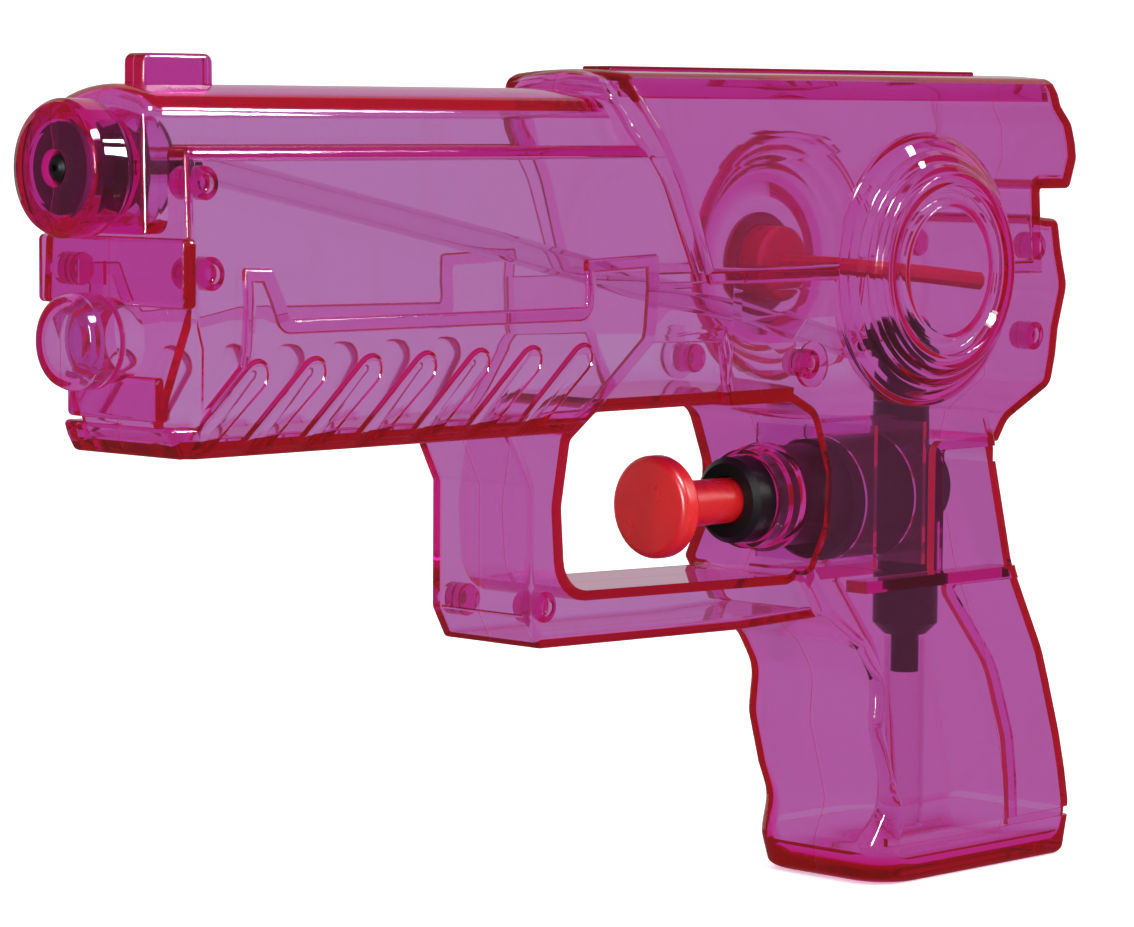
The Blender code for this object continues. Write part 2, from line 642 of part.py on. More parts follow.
def hose(name, points, radius, bore, sides=10):
    """Tube along a path with its bore open at both ends."""
    inside = rings_along(points, bore, sides)[::-1]
    return loft(name, rings_along(points, radius, sides) + inside, closed=True)


def seal(name, start, end, inner, outer, centre, axis):
    """Soft ring with round corners, between two places along an axis."""
    corner = 0.3
    profile = [(start, inner), (start, outer - corner), (start + math.copysign(corner, end - start), outer),
               (end - math.copysign(corner, end - start), outer), (end, outer - corner), (end, inner)]
    return turned(name, profile, centre, axis, closed=True, sides=SEAL_SIDES)


def ball(name, centre):
    mesh = bpy.data.meshes.new(name)
    solid = bpy.data.objects.new(name, mesh)
    bpy.context.collection.objects.link(solid)
    place = Matrix.Translation(Vector(centre) * MM)
    edit(solid, lambda bm: bmesh.ops.create_uvsphere(bm, u_segments=12, v_segments=8,
                                                     radius=BALL_RADIUS * MM, matrix=place))
    return solid


def coil_spring(name, start, end, radius, wire, turns, centre, axis):
    """Wire wound round an axis, as one tube; prints its least gap between turns."""
    per_turn = 8
    count = turns * per_turn
    first, last = (start + math.copysign(wire, end - start), end - math.copysign(wire, end - start))
    path = bpy.data.curves.new(name, "CURVE")
    path.dimensions = "3D"
    path.bevel_depth = wire * MM
    path.bevel_resolution = 1
    path.use_fill_caps = True
    spline = path.splines.new("POLY")
    spline.points.add(count)
    places = []
    for k in range(count + 1):
        angle = 2 * math.pi * k / per_turn
        along = first + (last - first) * k / count
        u, v = radius * math.cos(angle), radius * math.sin(angle)
        places.append(Vector({"x": (along, u, v), "z": (u, v, along)}[axis]) + Vector(centre))
        spline.points[k].co = (*(places[-1] * MM), 1)
    gap = min((places[i] - places[k]).length for i in range(count + 1)
              for k in range(i + per_turn // 2, count + 1)) - 2 * wire
    print(name, "least gap to itself", round(gap, 2), "mm")
    guide = bpy.data.objects.new(name, path)
    bpy.context.collection.objects.link(guide)
    mesh = bpy.data.meshes.new_from_object(guide.evaluated_get(bpy.context.evaluated_depsgraph_get()))
    bpy.data.objects.remove(guide)
    solid = bpy.data.objects.new(name, mesh)
    bpy.context.collection.objects.link(solid)

    def close_ends(bm):
        bmesh.ops.remove_doubles(bm, verts=bm.verts, dist=2e-6)
        bmesh.ops.recalc_face_normals(bm, faces=bm.faces)
    edit(solid, close_ends)
    return solid


def nozzle():
    """Tip, flange with a seal groove, and a barb for the hose, bored through."""
    back = HOSE_FRONT + FIT
    profile = [(1.3, BARB_BORE), (1.3, 0.9), (0.9, 1.65), (0.1, TIP_RADIUS), (NOZZLE_FRONT, TIP_RADIUS),
               (NOZZLE_FRONT, NOZZLE_RADIUS), (-6.9, NOZZLE_RADIUS), (-6.9, 4.6), (-9.3, 4.6),
               (-9.3, NOZZLE_RADIUS), (NOZZLE_BACK, NOZZLE_RADIUS), (NOZZLE_BACK, 2.6), (back, 2.6),
               (back, BARB_RADIUS), (-22.5, BARB_RADIUS), (-22.5, BARB_BORE)]
    return turned("nozzle", profile, (0, 0, 0), "x", closed=True, sides=INNER_SIDES)


def plunger():
    """Trigger disc, rod, piston with its seal groove, and a spigot for the spring."""
    piston = PUMP_BORE - FIT
    profile = [(HEAD_FRONT, 6.4), (HEAD_FRONT - 0.5, 7.4), (HEAD_FRONT - 1.1, HEAD_RADIUS),
               (HEAD_FRONT - 2.6, HEAD_RADIUS), (HEAD_FRONT - 3.1, 7.2), (HEAD_FRONT - 3.3, 4.2),
               (HEAD_FRONT - 4.1, ROD_RADIUS), (PUMP_SHOULDER, ROD_RADIUS), (PUMP_SHOULDER, piston),
               (-143.3, piston), (-143.3, 4.6), (-145.7, 4.6), (-145.7, piston), (PISTON_BACK, piston),
               (PISTON_BACK, 3.5), (PISTON_BACK - 4.8, 3.5), (PISTON_BACK - 5.4, 2.9)]
    return turned("plunger", profile, (0, 0, PUMP_Z), "x", sides=20)


def gland():
    hole = ROD_RADIUS + FIT
    profile = [(GLAND_FRONT, hole), (GLAND_FRONT, 5.6), (GLAND_FRONT - 0.8, GLAND_RADIUS),
               (GLAND_BACK, GLAND_RADIUS), (GLAND_BACK, hole)]
    return turned("gland", profile, (0, 0, PUMP_Z), "x", closed=True)


def upright(name, x, z0, z1, radius, sides=INNER_SIDES):
    return turned(name, [(z0, radius), (z1, radius)], (x, 0, 0), "z", sides=sides)


def pump():
    """Barrel with a neck above and below, bored for the gland, the piston and both valves."""
    body = turned("pump", [(PUMP_FRONT, PUMP_RADIUS), (PUMP_BACK + 0.6, PUMP_RADIUS), (PUMP_BACK, 7.4)],
                  (0, 0, PUMP_Z), "x")
    necks = [upright("neck", INLET_X, PUMP_Z, PUMP_Z - NECK_END, NECK_RADIUS),
             upright("neck", OUTLET_X, PUMP_Z, PUMP_Z + NECK_END, NECK_RADIUS)]
    body = join(body, *necks)
    return cut(body, bore_x("counterbore", PUMP_FRONT + 1, PUMP_SHOULDER, GLAND_RADIUS + FIT, PUMP_Z),
               bore_x("bore", PUMP_SHOULDER + 1, PUMP_FLOOR, PUMP_BORE, PUMP_Z),
               upright("port", INLET_X, PUMP_Z, PUMP_Z - NECK_SEAT - 1, VALVE_PORT, 12),
               upright("port", OUTLET_X, PUMP_Z, PUMP_Z + NECK_SEAT + 1, VALVE_PORT, 12),
               upright("socket", INLET_X, PUMP_Z - NECK_SEAT, PUMP_Z - NECK_END - 1, NECK_BORE),
               upright("socket", OUTLET_X, PUMP_Z + NECK_SEAT, PUMP_Z + NECK_END + 1, NECK_BORE))


SPIGOT_RADIUS = NECK_BORE - FIT
SEAL_THICK = 0.9
INLET_SEAT = PUMP_Z - NECK_SEAT
OUTLET_SEAT = PUMP_Z + NECK_SEAT
HOUSING_TOP = PUMP_Z - NECK_END - FIT
ELBOW_FOOT = PUMP_Z + NECK_END + FIT
SPIGOT_GAP = SEAL_THICK + 2 * FIT
INLET_SEAT_Z = -70.0
INLET_BALL_Z = INLET_SEAT_Z + 1.35
OUTLET_BALL_Z = OUTLET_SEAT + 1.35
OUTLET_CEILING = -33.0
ELBOW_TOP = -24.5
ELBOW_MOUTH = HOSE_BACK - FIT


def inlet_fitting():
    """Valve housing under the pump, with its ball room and a stub for the suction tube."""
    top = INLET_SEAT - SPIGOT_GAP
    profile = [(top, VALVE_PORT), (top, SPIGOT_RADIUS), (HOUSING_TOP, SPIGOT_RADIUS), (HOUSING_TOP, 5.1),
               (-72.2, 5.1), (-74.0, 3.3), (-74.0, 2.2), (-80.0, 2.2), (-80.0, VALVE_PORT),
               (INLET_SEAT_Z, VALVE_PORT), (INLET_SEAT_Z + 0.4, VALVE_ROOM), (-65.5, VALVE_ROOM),
               (-65.1, VALVE_PORT)]
    return turned("inlet", profile, (INLET_X, 0, 0), "z", closed=True, sides=INNER_SIDES)


def elbow():
    """Outlet bend over the pump: ball room below, hose barb to the front."""
    foot = OUTLET_SEAT + SPIGOT_GAP
    body = turned("elbow", [(foot, SPIGOT_RADIUS), (ELBOW_FOOT, SPIGOT_RADIUS), (ELBOW_FOOT, NECK_RADIUS),
                            (ELBOW_TOP - 0.8, NECK_RADIUS), (ELBOW_TOP, 3.6)], (OUTLET_X, 0, 0), "z",
                  sides=INNER_SIDES)
    body = join(body, turned("barb", [(OUTLET_X, 2.6), (ELBOW_MOUTH, 2.6), (ELBOW_MOUTH, BARB_RADIUS),
                                      (-156.5, BARB_RADIUS)], (0, 0, ELBOW_BARB_Z), "x", sides=16))
    return cut(body, upright("room", OUTLET_X, foot - 1, OUTLET_CEILING, VALVE_ROOM, 16),
               upright("riser", OUTLET_X, OUTLET_CEILING - 1, ELBOW_BARB_Z + 1, VALVE_PORT, 12),
               turned("way", [(OUTLET_X, BARB_BORE), (-156, BARB_BORE)], (0, 0, ELBOW_BARB_Z), "x", sides=12))


HOSE_ROUTE = [(HOSE_FRONT, 0), (-22.6, -0.05), (-31, -1.6), (-64, -8.4), (-97, -15.5), (-148, -26.8),
              (-156.8, ELBOW_BARB_Z), (HOSE_BACK, ELBOW_BARB_Z)]
TAIL_ROUTE = [(BOSS_X, -15.0, BOSS_Z), (-154.8, -9, -16), (-155.8, -3, -16.1), (-158.5, 3, -16.5),
              (-164.5, 8, -17.3), (-172.5, 10.4, -18.3)]


def plug():
    """Soft stopper in the right-hand boss, with a captive tail that lies in the tank."""
    stem = FILLER_HOLE - FIT
    outer = BOSS_LIP - 0.3
    seat = BOSS_DISC + FIT
    profile = [(-outer, 7.2), (-outer + 0.3, 8.0), (-seat, 8.0), (-seat, stem), (-14.6, stem), (-14.0, 5.3)]
    body = turned("plug", profile, (BOSS_X, 0, BOSS_Z), "y", sides=INNER_SIDES)
    tail = loft("tail", rings_along(smooth([Vector(p) for p in TAIL_ROUTE], 3), TAIL_RADIUS, 8))
    return join(body, tail)


shell = whole_shell()
finish(half(shell, 1), "left_shell", MAGENTA, 0.08, alpha=0.5)
finish(right_half(shell), "right_shell", MAGENTA, 0.08, alpha=0.5)
bpy.data.objects.remove(shell)

on_pump = (0, 0, PUMP_Z)
on_inlet = (INLET_X, 0, 0)
on_outlet = (OUTLET_X, 0, 0)
finish(nozzle(), "nozzle", BLACK, 0.35)
finish(seal("nozzle_seal", -7.2, -9.0, 4.9, NOZZLE_RADIUS, (0, 0, 0), "x"), "nozzle_seal", RUBBER, 0.6)
route = smooth([Vector((x, 0, z)) for x, z in HOSE_ROUTE], 3)
print("hose length", round(sum((b - a).length for a, b in zip(route, route[1:])), 1), "mm")
finish(hose("hose", route, HOSE_RADIUS, HOSE_BORE), "outlet_hose", CLEAR, 0.3, alpha=0.6)
finish(elbow(), "outlet_elbow", BLACK, 0.35)
seal_foot = OUTLET_SEAT + FIT
finish(seal("seal", seal_foot, seal_foot + SEAL_THICK, VALVE_ROOM, SPIGOT_RADIUS, on_outlet, "z"),
       "outlet_seal", RUBBER, 0.6)
finish(ball("ball", (OUTLET_X, 0, OUTLET_BALL_Z)), "outlet_ball", STEEL, 0.15, metallic=1.0,
       origin=(OUTLET_X, 0, OUTLET_BALL_Z))
finish(coil_spring("outlet_spring", OUTLET_BALL_Z + BALL_RADIUS, OUTLET_CEILING - FIT, 1.2, 0.17, 3,
                   on_outlet, "z"), "outlet_spring", STEEL, 0.25, metallic=1.0)
finish(pump(), "pump_cylinder", BLACK, 0.35)
finish(gland(), "pump_gland", BLACK, 0.4)
finish(seal("seal", GLAND_BACK - FIT, PUMP_SHOULDER + FIT, ROD_RADIUS + FIT, GLAND_RADIUS, on_pump, "x"),
       "gland_seal", RUBBER, 0.6)
finish(plunger(), "trigger_plunger", RED, 0.3, origin=(HEAD_FRONT, 0, PUMP_Z))
finish(seal("seal", -143.6, -145.4, 4.9, PUMP_BORE - FIT, on_pump, "x"), "piston_seal", RUBBER, 0.6,
       origin=(-144.5, 0, PUMP_Z))
finish(coil_spring("return_spring", PISTON_BACK - FIT, PUMP_FLOOR + FIT, SPRING_RADIUS, SPRING_WIRE,
                   SPRING_TURNS, on_pump, "x"), "return_spring", STEEL, 0.25, metallic=1.0)
finish(inlet_fitting(), "inlet_housing", BLACK, 0.35)
seal_top = INLET_SEAT - FIT
finish(seal("seal", seal_top, seal_top - SEAL_THICK, VALVE_ROOM, SPIGOT_RADIUS, on_inlet, "z"),
       "inlet_seal", RUBBER, 0.6)
finish(ball("ball", (INLET_X, 0, INLET_BALL_Z)), "inlet_ball", STEEL, 0.15, metallic=1.0,
       origin=(INLET_X, 0, INLET_BALL_Z))
finish(turned("tube", [(-74.6, SUCTION_BORE), (-74.6, SUCTION_RADIUS), (SUCTION_END, SUCTION_RADIUS),
                       (SUCTION_END, SUCTION_BORE)], on_inlet, "z", closed=True, sides=INNER_SIDES),
       "suction_tube", CLEAR, 0.3, alpha=0.6)
finish(plug(), "filler_plug", RED, 0.45, origin=(BOSS_X, -BOSS_DISC, BOSS_Z))
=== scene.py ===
"""Looks of the clear toy water pistol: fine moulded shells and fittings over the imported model.

Sizes are millimetres from the muzzle, as in the part's own source: x is negative towards the back, y points
to the gun's left and z is the height over the bore.
"""
import json
import math

import bmesh
import bpy
from mathutils import Matrix, Vector


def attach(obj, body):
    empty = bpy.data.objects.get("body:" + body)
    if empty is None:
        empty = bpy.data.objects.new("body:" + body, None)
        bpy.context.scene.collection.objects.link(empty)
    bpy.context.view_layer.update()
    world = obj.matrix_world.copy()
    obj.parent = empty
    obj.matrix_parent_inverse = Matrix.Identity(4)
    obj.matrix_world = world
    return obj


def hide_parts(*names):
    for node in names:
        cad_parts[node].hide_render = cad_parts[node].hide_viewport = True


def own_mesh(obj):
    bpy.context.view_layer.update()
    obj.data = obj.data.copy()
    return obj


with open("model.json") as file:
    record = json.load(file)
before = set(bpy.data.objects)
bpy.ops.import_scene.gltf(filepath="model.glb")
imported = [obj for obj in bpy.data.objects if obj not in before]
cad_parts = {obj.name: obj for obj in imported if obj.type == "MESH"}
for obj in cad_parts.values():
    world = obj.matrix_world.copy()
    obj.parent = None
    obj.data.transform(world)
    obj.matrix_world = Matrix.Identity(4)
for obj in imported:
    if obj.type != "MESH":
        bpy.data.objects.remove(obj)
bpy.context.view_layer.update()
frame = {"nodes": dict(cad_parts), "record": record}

MM = 0.001

# Driving dimensions of the body
BORE_HEIGHT = 110.6  # bore axis over the grip's flat base
FRONT_X = 1.8  # front of the muzzle ring
REAR_X = -195.3  # back of the grip's foot
MUZZLE_X = -(FRONT_X + REAR_X) / 2
WALL = 0.9  # shell wall
SLIDE_WALL = 1.2  # the slide and the frame are thicker
WINDOW_WALL = 1.5  # round the finger window
WINDOW_TOP = 2.1  # over it
GRIP_WALL = 1.3
GRIP_RIM = 1.2  # front and back of the grip
BASE_WALL = 2.0  # foot of the grip
FLOOR_WALL = 2.4  # underside of the fore-end
SEAM_GAP = 0.08  # between the two halves
RIB = 0.8  # webs inside the shell
FIT = 0.3  # between pieces that touch
FRONT_FACE = -9.0  # front face of the body under the muzzle
LEDGE_Z = 2.9  # shoulder beside the front slide
SLIDE_FOOT = -17.1  # lower edge of the rear slide
NOTCH_X = -182.7  # floor of the notch behind the slide
FORE_FOOT = -37.5  # underside of the fore-end
GUARD_HALF = 9.85  # half width of the trigger guard
PANEL_RISE = 0.8  # how far the raised side panels stand out

# Axes of the round features
LIGHT_Z = -22.3  # lamp under the muzzle
LAMP_FRONT = 0.4
BOSS_X = -154.5  # round boss on each side
BOSS_Z = -16.0
PUMP_Z = -50.5  # pump and trigger rod
INLET_X = -168.0  # suction side, straight below the pump
OUTLET_X = -166.5  # pressure side, straight above the pump

# Pump and trigger
HEAD_FRONT = -109.5
HEAD_RADIUS = 7.65
ROD_RADIUS = 3.45
GLAND_FRONT = -126.5
GLAND_BACK = -139.2
GLAND_RADIUS = 6.5
GLAND_EDGE = 0.8  # its chamfer, along the axis
GLAND_FACE = 5.6  # and the radius of its front face
PUMP_RADIUS = 8.0
PUMP_BORE = 6.2
PUMP_FRONT = -137.1
PUMP_SHOULDER = -141.6  # where the gland's counterbore ends and the piston's bore begins
PUMP_END = 6.9  # radius of its closed end
BARREL_FRONT, BARREL_BACK = -145.2, -163.4  # its thick middle, set a little low
BARREL_RADIUS = 9.5
BARREL_Z = PUMP_Z - 0.9
PUMP_FLOOR = -168.8  # end of the piston's bore
PUMP_BACK = -171.0
PUMP_EDGE = 0.6
PUMP_RIBS = (-147.0, -158.5)
RIB_RISE, RIB_HALF = 11, 11.4  # of the webs that carry the pump
PISTON_BACK = -147.6
NECK_RADIUS = 4.4
NECK_BORE = 3.3
NECK_SEAT = 9.3  # seat in each neck, from the pump's axis
NECK_END = 13.3
VALVE_PORT = 1.1
VALVE_ROOM = 1.9
BALL_RADIUS = 1.5

# Water way
NOZZLE_RADIUS = 6.0
NOZZLE_FRONT = -0.9
NOZZLE_DISC = -2.6  # back of its front disc
NOZZLE_BACK = -13.9  # end of its room in the shell
TIP_FRONT = 1.3
TIP_RADIUS = 2.15
HUB_RADIUS = 2.2
SEAL_SEAT = (-6.6, -9.5, 4.6)  # ends and radius of the seal's seat
BARB_END = -22.5
BARB_RADIUS = 0.95
BARB_BORE = 0.45
HOSE_RADIUS = 2.0
HOSE_BORE = 1.25
HOSE_FRONT = -11.2
HOSE_BACK = -159.9
ELBOW_BARB_Z = -28.5
SUCTION_RADIUS = 3.2
SUCTION_BORE = 2.5
SUCTION_TOP = -74.6
SUCTION_END = -104.5

# Filler plug
FILLER_HOLE = 6.2
BOSS_LIP = 21.0  # lip of the round boss, from the mid-plane
BOSS_DISC = 19.4  # its sunk disc, with the plug's seat
LEFT_DISC = 20.3
DISC_WALL = 1.2
PLUG_RADIUS, PLUG_FACE = 8.0, 7.2
PLUG_EDGE = 0.3
TAIL_RADIUS = 1.45

# Fineness of the meshes
ROUND_SIDES = 96
HEAD_SIDES = 64
INNER_SIDES = 48
GROOVE_SIDES = 40
HOSE_SIDES = 32
ROOM_SIDES = 16
PORT_SIDES = 12
TAIL_SIDES = 8
HOSE_STEPS = 12
TAIL_STEPS = 3
CORNER_STEPS = 6
CROWN_STEPS = 8
GROOVE_STEPS = 8
EDGE_STEPS = 5

# Edges and corners
INNER_CORNER = 1.1  # upright edges inside the grip
INNER_FOOT = 3.0  # round edge of the tank's floor
SQUARE_BELOW = 0.3  # the tank's smaller corners are square
LEAST_RADIUS = 0.02  # of a corner moved inwards
CORNER_SHARE = 0.49  # most that a corner takes of an edge
CROWN_DEPTH = 3 * WALL  # how far down the top is arched
GRIP_STEP = 0.8  # between the grip's sections

# Planes beyond the whole gun, and its two sides
BEHIND, BEYOND = -210, 20
BELOW, ABOVE = -120, 30
ASIDE = 40
SIDES = (1, -1)  # left and right


# Outlines

def is_outer(corners, i):
    """Whether an outline's corner points outwards; outlines run anticlockwise seen from the gun's right."""
    before, here, after = (Vector(corners[(i + k) % len(corners)][:2]) for k in (-1, 0, 1))
    return (here - before).cross(after - here) > 0


def inset(corners, distance):
    """The same outline moved inwards, with its round corners still concentric."""
    moved = []
    for i, (x, z, radius) in enumerate(corners):
        here = Vector((x, z))
        into = (here - Vector(corners[i - 1][:2])).normalized()
        out = (Vector(corners[(i + 1) % len(corners)][:2]) - here).normalized()
        normals = Vector((-into.y, into.x)) + Vector((-out.y, out.x))
        here += normals * distance / (1 + into.dot(out))
        if radius:
            radius = max(radius + (-distance if is_outer(corners, i) else distance), LEAST_RADIUS)
        moved.append((here.x, here.y, radius))
    return moved


def rounded(corners):
    """Points of an outline given as (x, z, radius) corners."""
    points = []
    for i, (x, z, radius) in enumerate(corners):
        here = Vector((x, z))
        if not radius:
            points.append(here)
            continue
        back = Vector(corners[i - 1][:2]) - here
        on = Vector(corners[(i + 1) % len(corners)][:2]) - here
        half = back.angle(on) / 2
        reach = min(radius / math.tan(half), back.length * CORNER_SHARE, on.length * CORNER_SHARE)
        radius = reach * math.tan(half)
        start = here + back.normalized() * reach
        end = here + on.normalized() * reach
        centre = here + (back.normalized() + on.normalized()).normalized() * radius / math.sin(half)
        first = math.atan2(*reversed(start - centre))
        turn = math.remainder(math.atan2(*reversed(end - centre)) - first, 2 * math.pi)
        for k in range(CORNER_STEPS + 1):
            angle = first + turn * k / CORNER_STEPS
            points.append(centre + radius * Vector((math.cos(angle), math.sin(angle))))
    return points


# Solids

def add_object(name, data):
    thing = bpy.data.objects.new(name, data)
    bpy.context.collection.objects.link(thing)
    return thing


def loft(name, rings, closed=False):
    """Solid through rings of equally many points, capped at its ends or closed on itself."""
    size = len(rings[0])
    verts = [Vector(point) * MM for points in rings for point in points]
    spans = len(rings) if closed else len(rings) - 1
    faces = []
    for r in range(spans):
        near, far = r * size, (r + 1) % len(rings) * size
        for k in range(size):
            n = (k + 1) % size
            faces.append((near + k, near + n, far + n, far + k))
    if not closed:
        faces.append(tuple(range(size)))
        faces.append(tuple(range((len(rings) - 1) * size, len(rings) * size)))
    mesh = bpy.data.meshes.new(name)
    mesh.from_pydata(verts, [], faces)
    solid = add_object(name, mesh)
    edit(solid, lambda bm: bmesh.ops.recalc_face_normals(bm, faces=bm.faces))
    return solid


def edit(solid, change):
    bm = bmesh.new()
    bm.from_mesh(solid.data)
    change(bm)
    bm.to_mesh(solid.data)
    bm.free()


def ring(centre, radius, out, up, sides, start=0.5):
    """Points of a circle, from a share of a step past its outer point."""
    turns = [2 * math.pi * (k + start) / sides for k in range(sides)]
    return [centre + radius * (out * math.cos(a) + up * math.sin(a)) for a in turns]


def turned(name, profile, centre, axis, closed=False, sides=ROUND_SIDES):
    """Solid turned about an axis from (along, radius) points; a closed profile keeps its bore open."""
    rings = []
    for along, radius in profile:
        points = []
        for k in range(sides):
            angle = 2 * math.pi * (k + 0.5) / sides
            u, v = radius * math.cos(angle), radius * math.sin(angle)
            point = {"x": (along, u, v), "y": (v, along, u), "z": (u, v, along)}[axis]
            points.append(Vector(point) + Vector(centre))
        rings.append(points)
    return loft(name, rings, closed)


def softened(profile, radius):
    """A turned profile with its corners rounded, apart from the two at its ends."""
    last = len(profile) - 1
    corners = [(along, out, radius if 0 < i < last else 0) for i, (along, out) in enumerate(profile)]
    return [(p.x, p.y) for p in rounded(corners)]


def width_at(widths, z):
    """Half width at a height, between the (z, half width) pairs, which run from the top down."""
    for (z0, w0), (z1, w1) in zip(widths, widths[1:]):
        if z >= z1:
            return w0 + (w1 - w0) * min(1, (z0 - z) / (z0 - z1))
    return widths[-1][1]


def quarter(steps):
    """Angles of a quarter turn."""
    return [math.pi / 2 * k / steps for k in range(steps + 1)]


def slab(name, corners, widths, edge=0.0, crown=0.0):
    """Side outline as thick as its width at each height, with round edges and an arched top."""
    reference = max(w for _, w in widths)
    top = max(z for _, z, _ in corners)
    stations = [(reference, 0.0)]
    if edge:
        stations = [(reference - edge * (1 - math.sin(a)), edge * (1 - math.cos(a)))
                    for a in quarter(EDGE_STEPS)]
    middle = []
    if crown:
        middle = [((reference - edge) * k / CROWN_STEPS, 0.0) for k in range(1 - CROWN_STEPS, CROWN_STEPS)]
    ordered = [(-y, d) for y, d in reversed(stations)] + middle + stations
    solid = loft(name, [[(p.x, y, p.y) for p in rounded(inset(corners, d) if d else corners)]
                        for y, d in ordered])

    def shape(bm):
        for z, _ in widths[1:-1]:
            bmesh.ops.bisect_plane(bm, geom=bm.verts[:] + bm.edges[:] + bm.faces[:], dist=1e-7,
                                   plane_co=Vector((0, 0, z)) * MM, plane_no=(0, 0, 1))
        for vert in bm.verts:
            across = vert.co.y / (reference * MM)
            z = vert.co.z / MM
            vert.co.y *= width_at(widths, z) / reference
            if crown and z > top - CROWN_DEPTH:
                vert.co.z += crown * MM * (1 - across * across)
    edit(solid, shape)
    return solid


def box(name, low, high):
    (x0, y0, z0), (x1, y1, z1) = low, high
    rings = [[(x0, y, z0), (x1, y, z0), (x1, y, z1), (x0, y, z1)] for y in (y0, y1)]
    return loft(name, rings)


def side_box(name, side, low, high):
    """Box on one side of the gun, given as on its left."""
    y0, y1 = sorted((side * low[1], side * high[1]))
    return box(name, (low[0], y0, low[2]), (high[0], y1, high[2]))


def combine(operation, base, others):
    """Boolean of closed solids; the shell's many grazing faces defeat the exact solver."""
    for other in others:
        modifier = base.modifiers.new("combine", "BOOLEAN")
        modifier.operation = operation
        modifier.solver = "MANIFOLD"
        modifier.object = other
        base.data = bpy.data.meshes.new_from_object(
            base.evaluated_get(bpy.context.evaluated_depsgraph_get()))
        base.modifiers.clear()
        bpy.data.objects.remove(other)
    return base


def join(base, *others):
    return combine("UNION", base, others)


def cut(base, *others):
    return combine("DIFFERENCE", base, others)


def copy_of(solid):
    twin = solid.copy()
    twin.data = solid.data.copy()
    bpy.context.collection.objects.link(twin)
    return twin


# The shell's side outlines, each with its half widths from the top down

FORE = [(FRONT_FACE, LEDGE_Z, 1.2), (-116, LEDGE_Z, 0), (-116, -34.6, 0), (-87.2, -34.6, 1.5),
        (-82.4, FORE_FOOT, 1.5), (-11.0, FORE_FOOT, 1.2), (FRONT_FACE, -33.0, 0.8)]
FORE_WIDTHS = [(LEDGE_Z, 13.7), (-17, 14.8), (-23, 14.4), (FORE_FOOT, 11.0)]

NOSE = [(-5.6, 8.8, 3.0), (-110, 8.8, 0), (-110, -8.4, 0), (-5.6, -8.4, 0)]
NOSE_WIDTHS = [(8.8, 9.9), (-8.4, 10.3)]

# The slide's front edge leans back in a slight curve; the collar is the step in front of the rear slide
COLLAR = [(-87.5, 13.0, 3.0), (-125, 13.0, 0), (-125, SLIDE_FOOT, 0), (-103.4, SLIDE_FOOT, 0.8),
          (-97.0, -2.2, 14), (-91.5, 4.8, 10)]
COLLAR_WIDTHS = [(13.0, 5.6), (12.6, 7.6), (11.6, 9.6), (10.0, 11.3), (7.5, 12.7), (LEDGE_Z, 13.9),
                 (SLIDE_FOOT, 15.2)]
SLIDE = [(-90.5, 13.1, 1.5), (-189.1, 13.1, 0.8), (-189.7, 9.0, 1.2), (-191.8, 6.2, 3.0), (-192.2, 0.6, 3.0),
         (-190.2, -4.0, 1.2), (NOTCH_X, -4.0, 0.6), (NOTCH_X, SLIDE_FOOT, 0), (-105.6, SLIDE_FOOT, 0.8),
         (-100.2, -2.6, 14), (-95.6, 5.4, 10)]
SLIDE_WIDTHS = [(13.1, 11.2), (12.3, 12.2), (10.8, 13.0), (LEDGE_Z, 14.6), (SLIDE_FOOT, 15.7)]

# Frame over the trigger, whose front edge carries on down from the collar, then the grip with the pump in it
FRAME = [(-102.3, -6, 0), (NOTCH_X, -6, 0), (NOTCH_X, -8.3, 0.6), (-188.4, -8.8, 1.2), (-188.9, -13.5, 2),
         (-190.1, -19.6, 5), (-188.7, -26, 2), (-188.3, -35.0, 2.5), (-178.6, -40.2, 3.5),
         (-177.0, -43.5, 0), (-120, -43.5, 0), (-120, -39.5, 0), (-114.5, -39.5, 0)]
FRAME_WIDTHS = [(-6, 14.1), (-18.5, 15.0), (-30, 14.2), (-43.5, 12.0)]
GRIP = [(-122, -32, 0), (-172, -32, 0), (-176.2, -45, 4), (-181.4, -64, 20), (-188.0, -77, 20),
        (-192.5, -91, 20), (REAR_X, -102.5, 4), (-193.6, -113, 0), (-148.6, -113, 0),
        (-147.4, -104.6, 4), (-150.2, -98.7, 5), (-146.2, -85.5, 6), (-146.9, -78.5, 6), (-143.2, -73, 4),
        (-135.6, -67.6, 2.5), (-130.5, -60, 0), (-122, -57, 0)]
GRIP_TOP = -36.0  # inside the frame
GRIP_FRONT_CORNER = 1.5  # radius of its upright edges
TOE_START, TOE_CORNER = -94.0, 6.0  # the front ones grow round towards the foot
GRIP_BACK_CORNER = 1.6
GRIP_EDGE = 1.4  # round edge of its foot, more so at the toe than at the heel
TOE_SHARE = 2.6
HEEL_SHARE = 0.5
GRIP_WIDTHS = [(-32, 13.0), (-40, 12.9), (-62, 12.8), (-82, 13.5), (-97, 13.7), (-BORE_HEIGHT, 13.0)]

GUARD = [(-70.5, -30, 0), (-144, -30, 0), (-144, -68, 0), (-119, -68.6, 0), (-77.3, -67.8, 0.8),
         (-74.8, -63.2, 0.8), (-74.8, -45, 0.8), (-70.4, -36.5, 0)]
GUARD_WIDTHS = [(-30, GUARD_HALF), (-70, GUARD_HALF)]

WINDOW = [(-83, -38.6, 1.5), (-88.2, -34.9, 1.5), (-126, -34.9, 3), (-132, -37.6, 4), (-135.3, -46, 6),
          (-134.9, -54, 6), (-130.8, -61.2, 2), (-82.2, -60.1, 5.0), (-81.3, -48, 6)]

